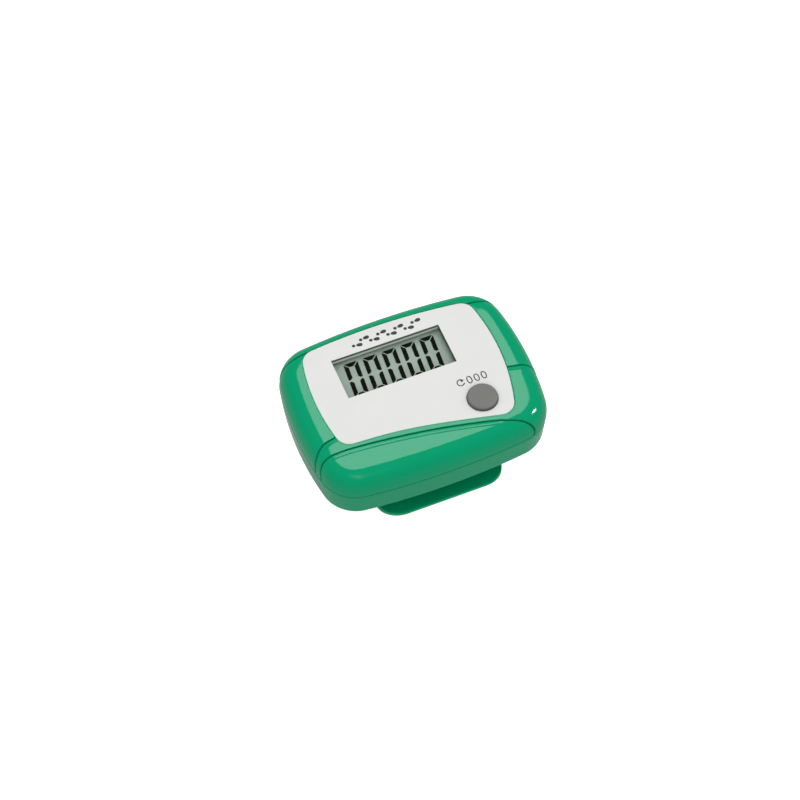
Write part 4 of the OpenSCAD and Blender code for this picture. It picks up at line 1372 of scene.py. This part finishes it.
ROOM_LOW = 0.48  # reflected light from near the floor and from above, and the heights between
ROOM_HIGH = 0.24
ROOM_SPAN = (0.05, 0.5)
PATCH = (-0.05, -0.26, 0.21, 0.4)  # an oval of light overhead, seen from above: middle, half lengths
PATCH_LIGHT = 2.4
PATCH_CORE = 0.2  # share of the oval that has its full light
DAYLIGHT = 0.78  # even light from all sides on what isn't a mirror


def make_world():
    """White behind the object, and around it a room that is brighter near the floor."""
    world = bpy.data.worlds.new("studio")
    bpy.context.scene.world = world
    world.use_nodes = True
    world.node_tree.nodes.clear()
    sheet = Sheet(world.node_tree)
    direction = sheet.add("ShaderNodeTexCoord").outputs["Generated"]
    height = sheet.add("ShaderNodeSeparateXYZ", {0: direction}).outputs["Z"]
    x, y, a, b = PATCH
    fitted = {0: direction, 1: (1 / a, 1 / b, 0), 2: (-x / a, -y / b, 0)}
    across = sheet.add("ShaderNodeVectorMath", fitted, operation="MULTIPLY_ADD").outputs[0]
    apart = sheet.add("ShaderNodeVectorMath", {0: across}, operation="LENGTH").outputs["Value"]
    patch = sheet.span(apart, PATCH_CORE, 1.0, PATCH_LIGHT, 0)
    reflected = sheet.math("ADD", sheet.span(height, *ROOM_SPAN, ROOM_LOW, ROOM_HIGH), patch)
    path = sheet.add("ShaderNodeLightPath").outputs
    room = sheet.add("ShaderNodeBackground",
                     {"Strength": sheet.span(path["Is Diffuse Ray"], 0, 1, reflected, DAYLIGHT)})
    white = sheet.add("ShaderNodeBackground", {"Color": (1, 1, 1, 1), "Strength": 1.0})
    seen = sheet.math("MAXIMUM", path["Is Camera Ray"], path["Is Transmission Ray"])
    mix = sheet.add("ShaderNodeMixShader", {0: seen, 1: room.outputs[0], 2: white.outputs[0]})
    sheet.add("ShaderNodeOutputWorld", {"Surface": mix.outputs[0]})


FLOOR_Z = -0.0072  # clear of the clip when it is open
FLOOR_GREY = 0.62
FLOOR_GLOW = 0.85  # brings the floor to white for the camera alone


def make_floor():
    deselect()
    bpy.ops.mesh.primitive_plane_add(size=4, location=(0, 0, FLOOR_Z))
    floor = bpy.context.active_object
    floor.name = "floor"
    mat, sheet, shader = material(0.9)
    sheet.put(shader, "Base Color", (FLOOR_GREY, FLOOR_GREY, FLOOR_GREY, 1))
    sheet.put(shader, "Emission Color", (1, 1, 1, 1))
    seen = sheet.add("ShaderNodeLightPath").outputs["Is Camera Ray"]
    sheet.put(shader, "Emission Strength", sheet.math("MULTIPLY", seen, FLOOR_GLOW))
    floor.data.materials.append(mat)


make_camera()
make_world()
make_floor()
# azimuth, elevation, distance, width, height and radiance
lamp("sheen", 157, 57.3, 0.8, 0.14, 0.14, 6.5).data.color = (0.85, 1, 0.93)
lamp("overhead", 165, 80, 0.9, 0.7, 0.7, 1.5, glossy=False)
lamp("front", -12, 32, 0.9, 1.0, 0.3, 0.9, glossy=False)
lamp("glint", 79, 43, 0.8, 0.13, 0.22, 60, diffuse=False, shape="ELLIPSE")
bpy.context.scene.view_settings.view_transform = "Standard"
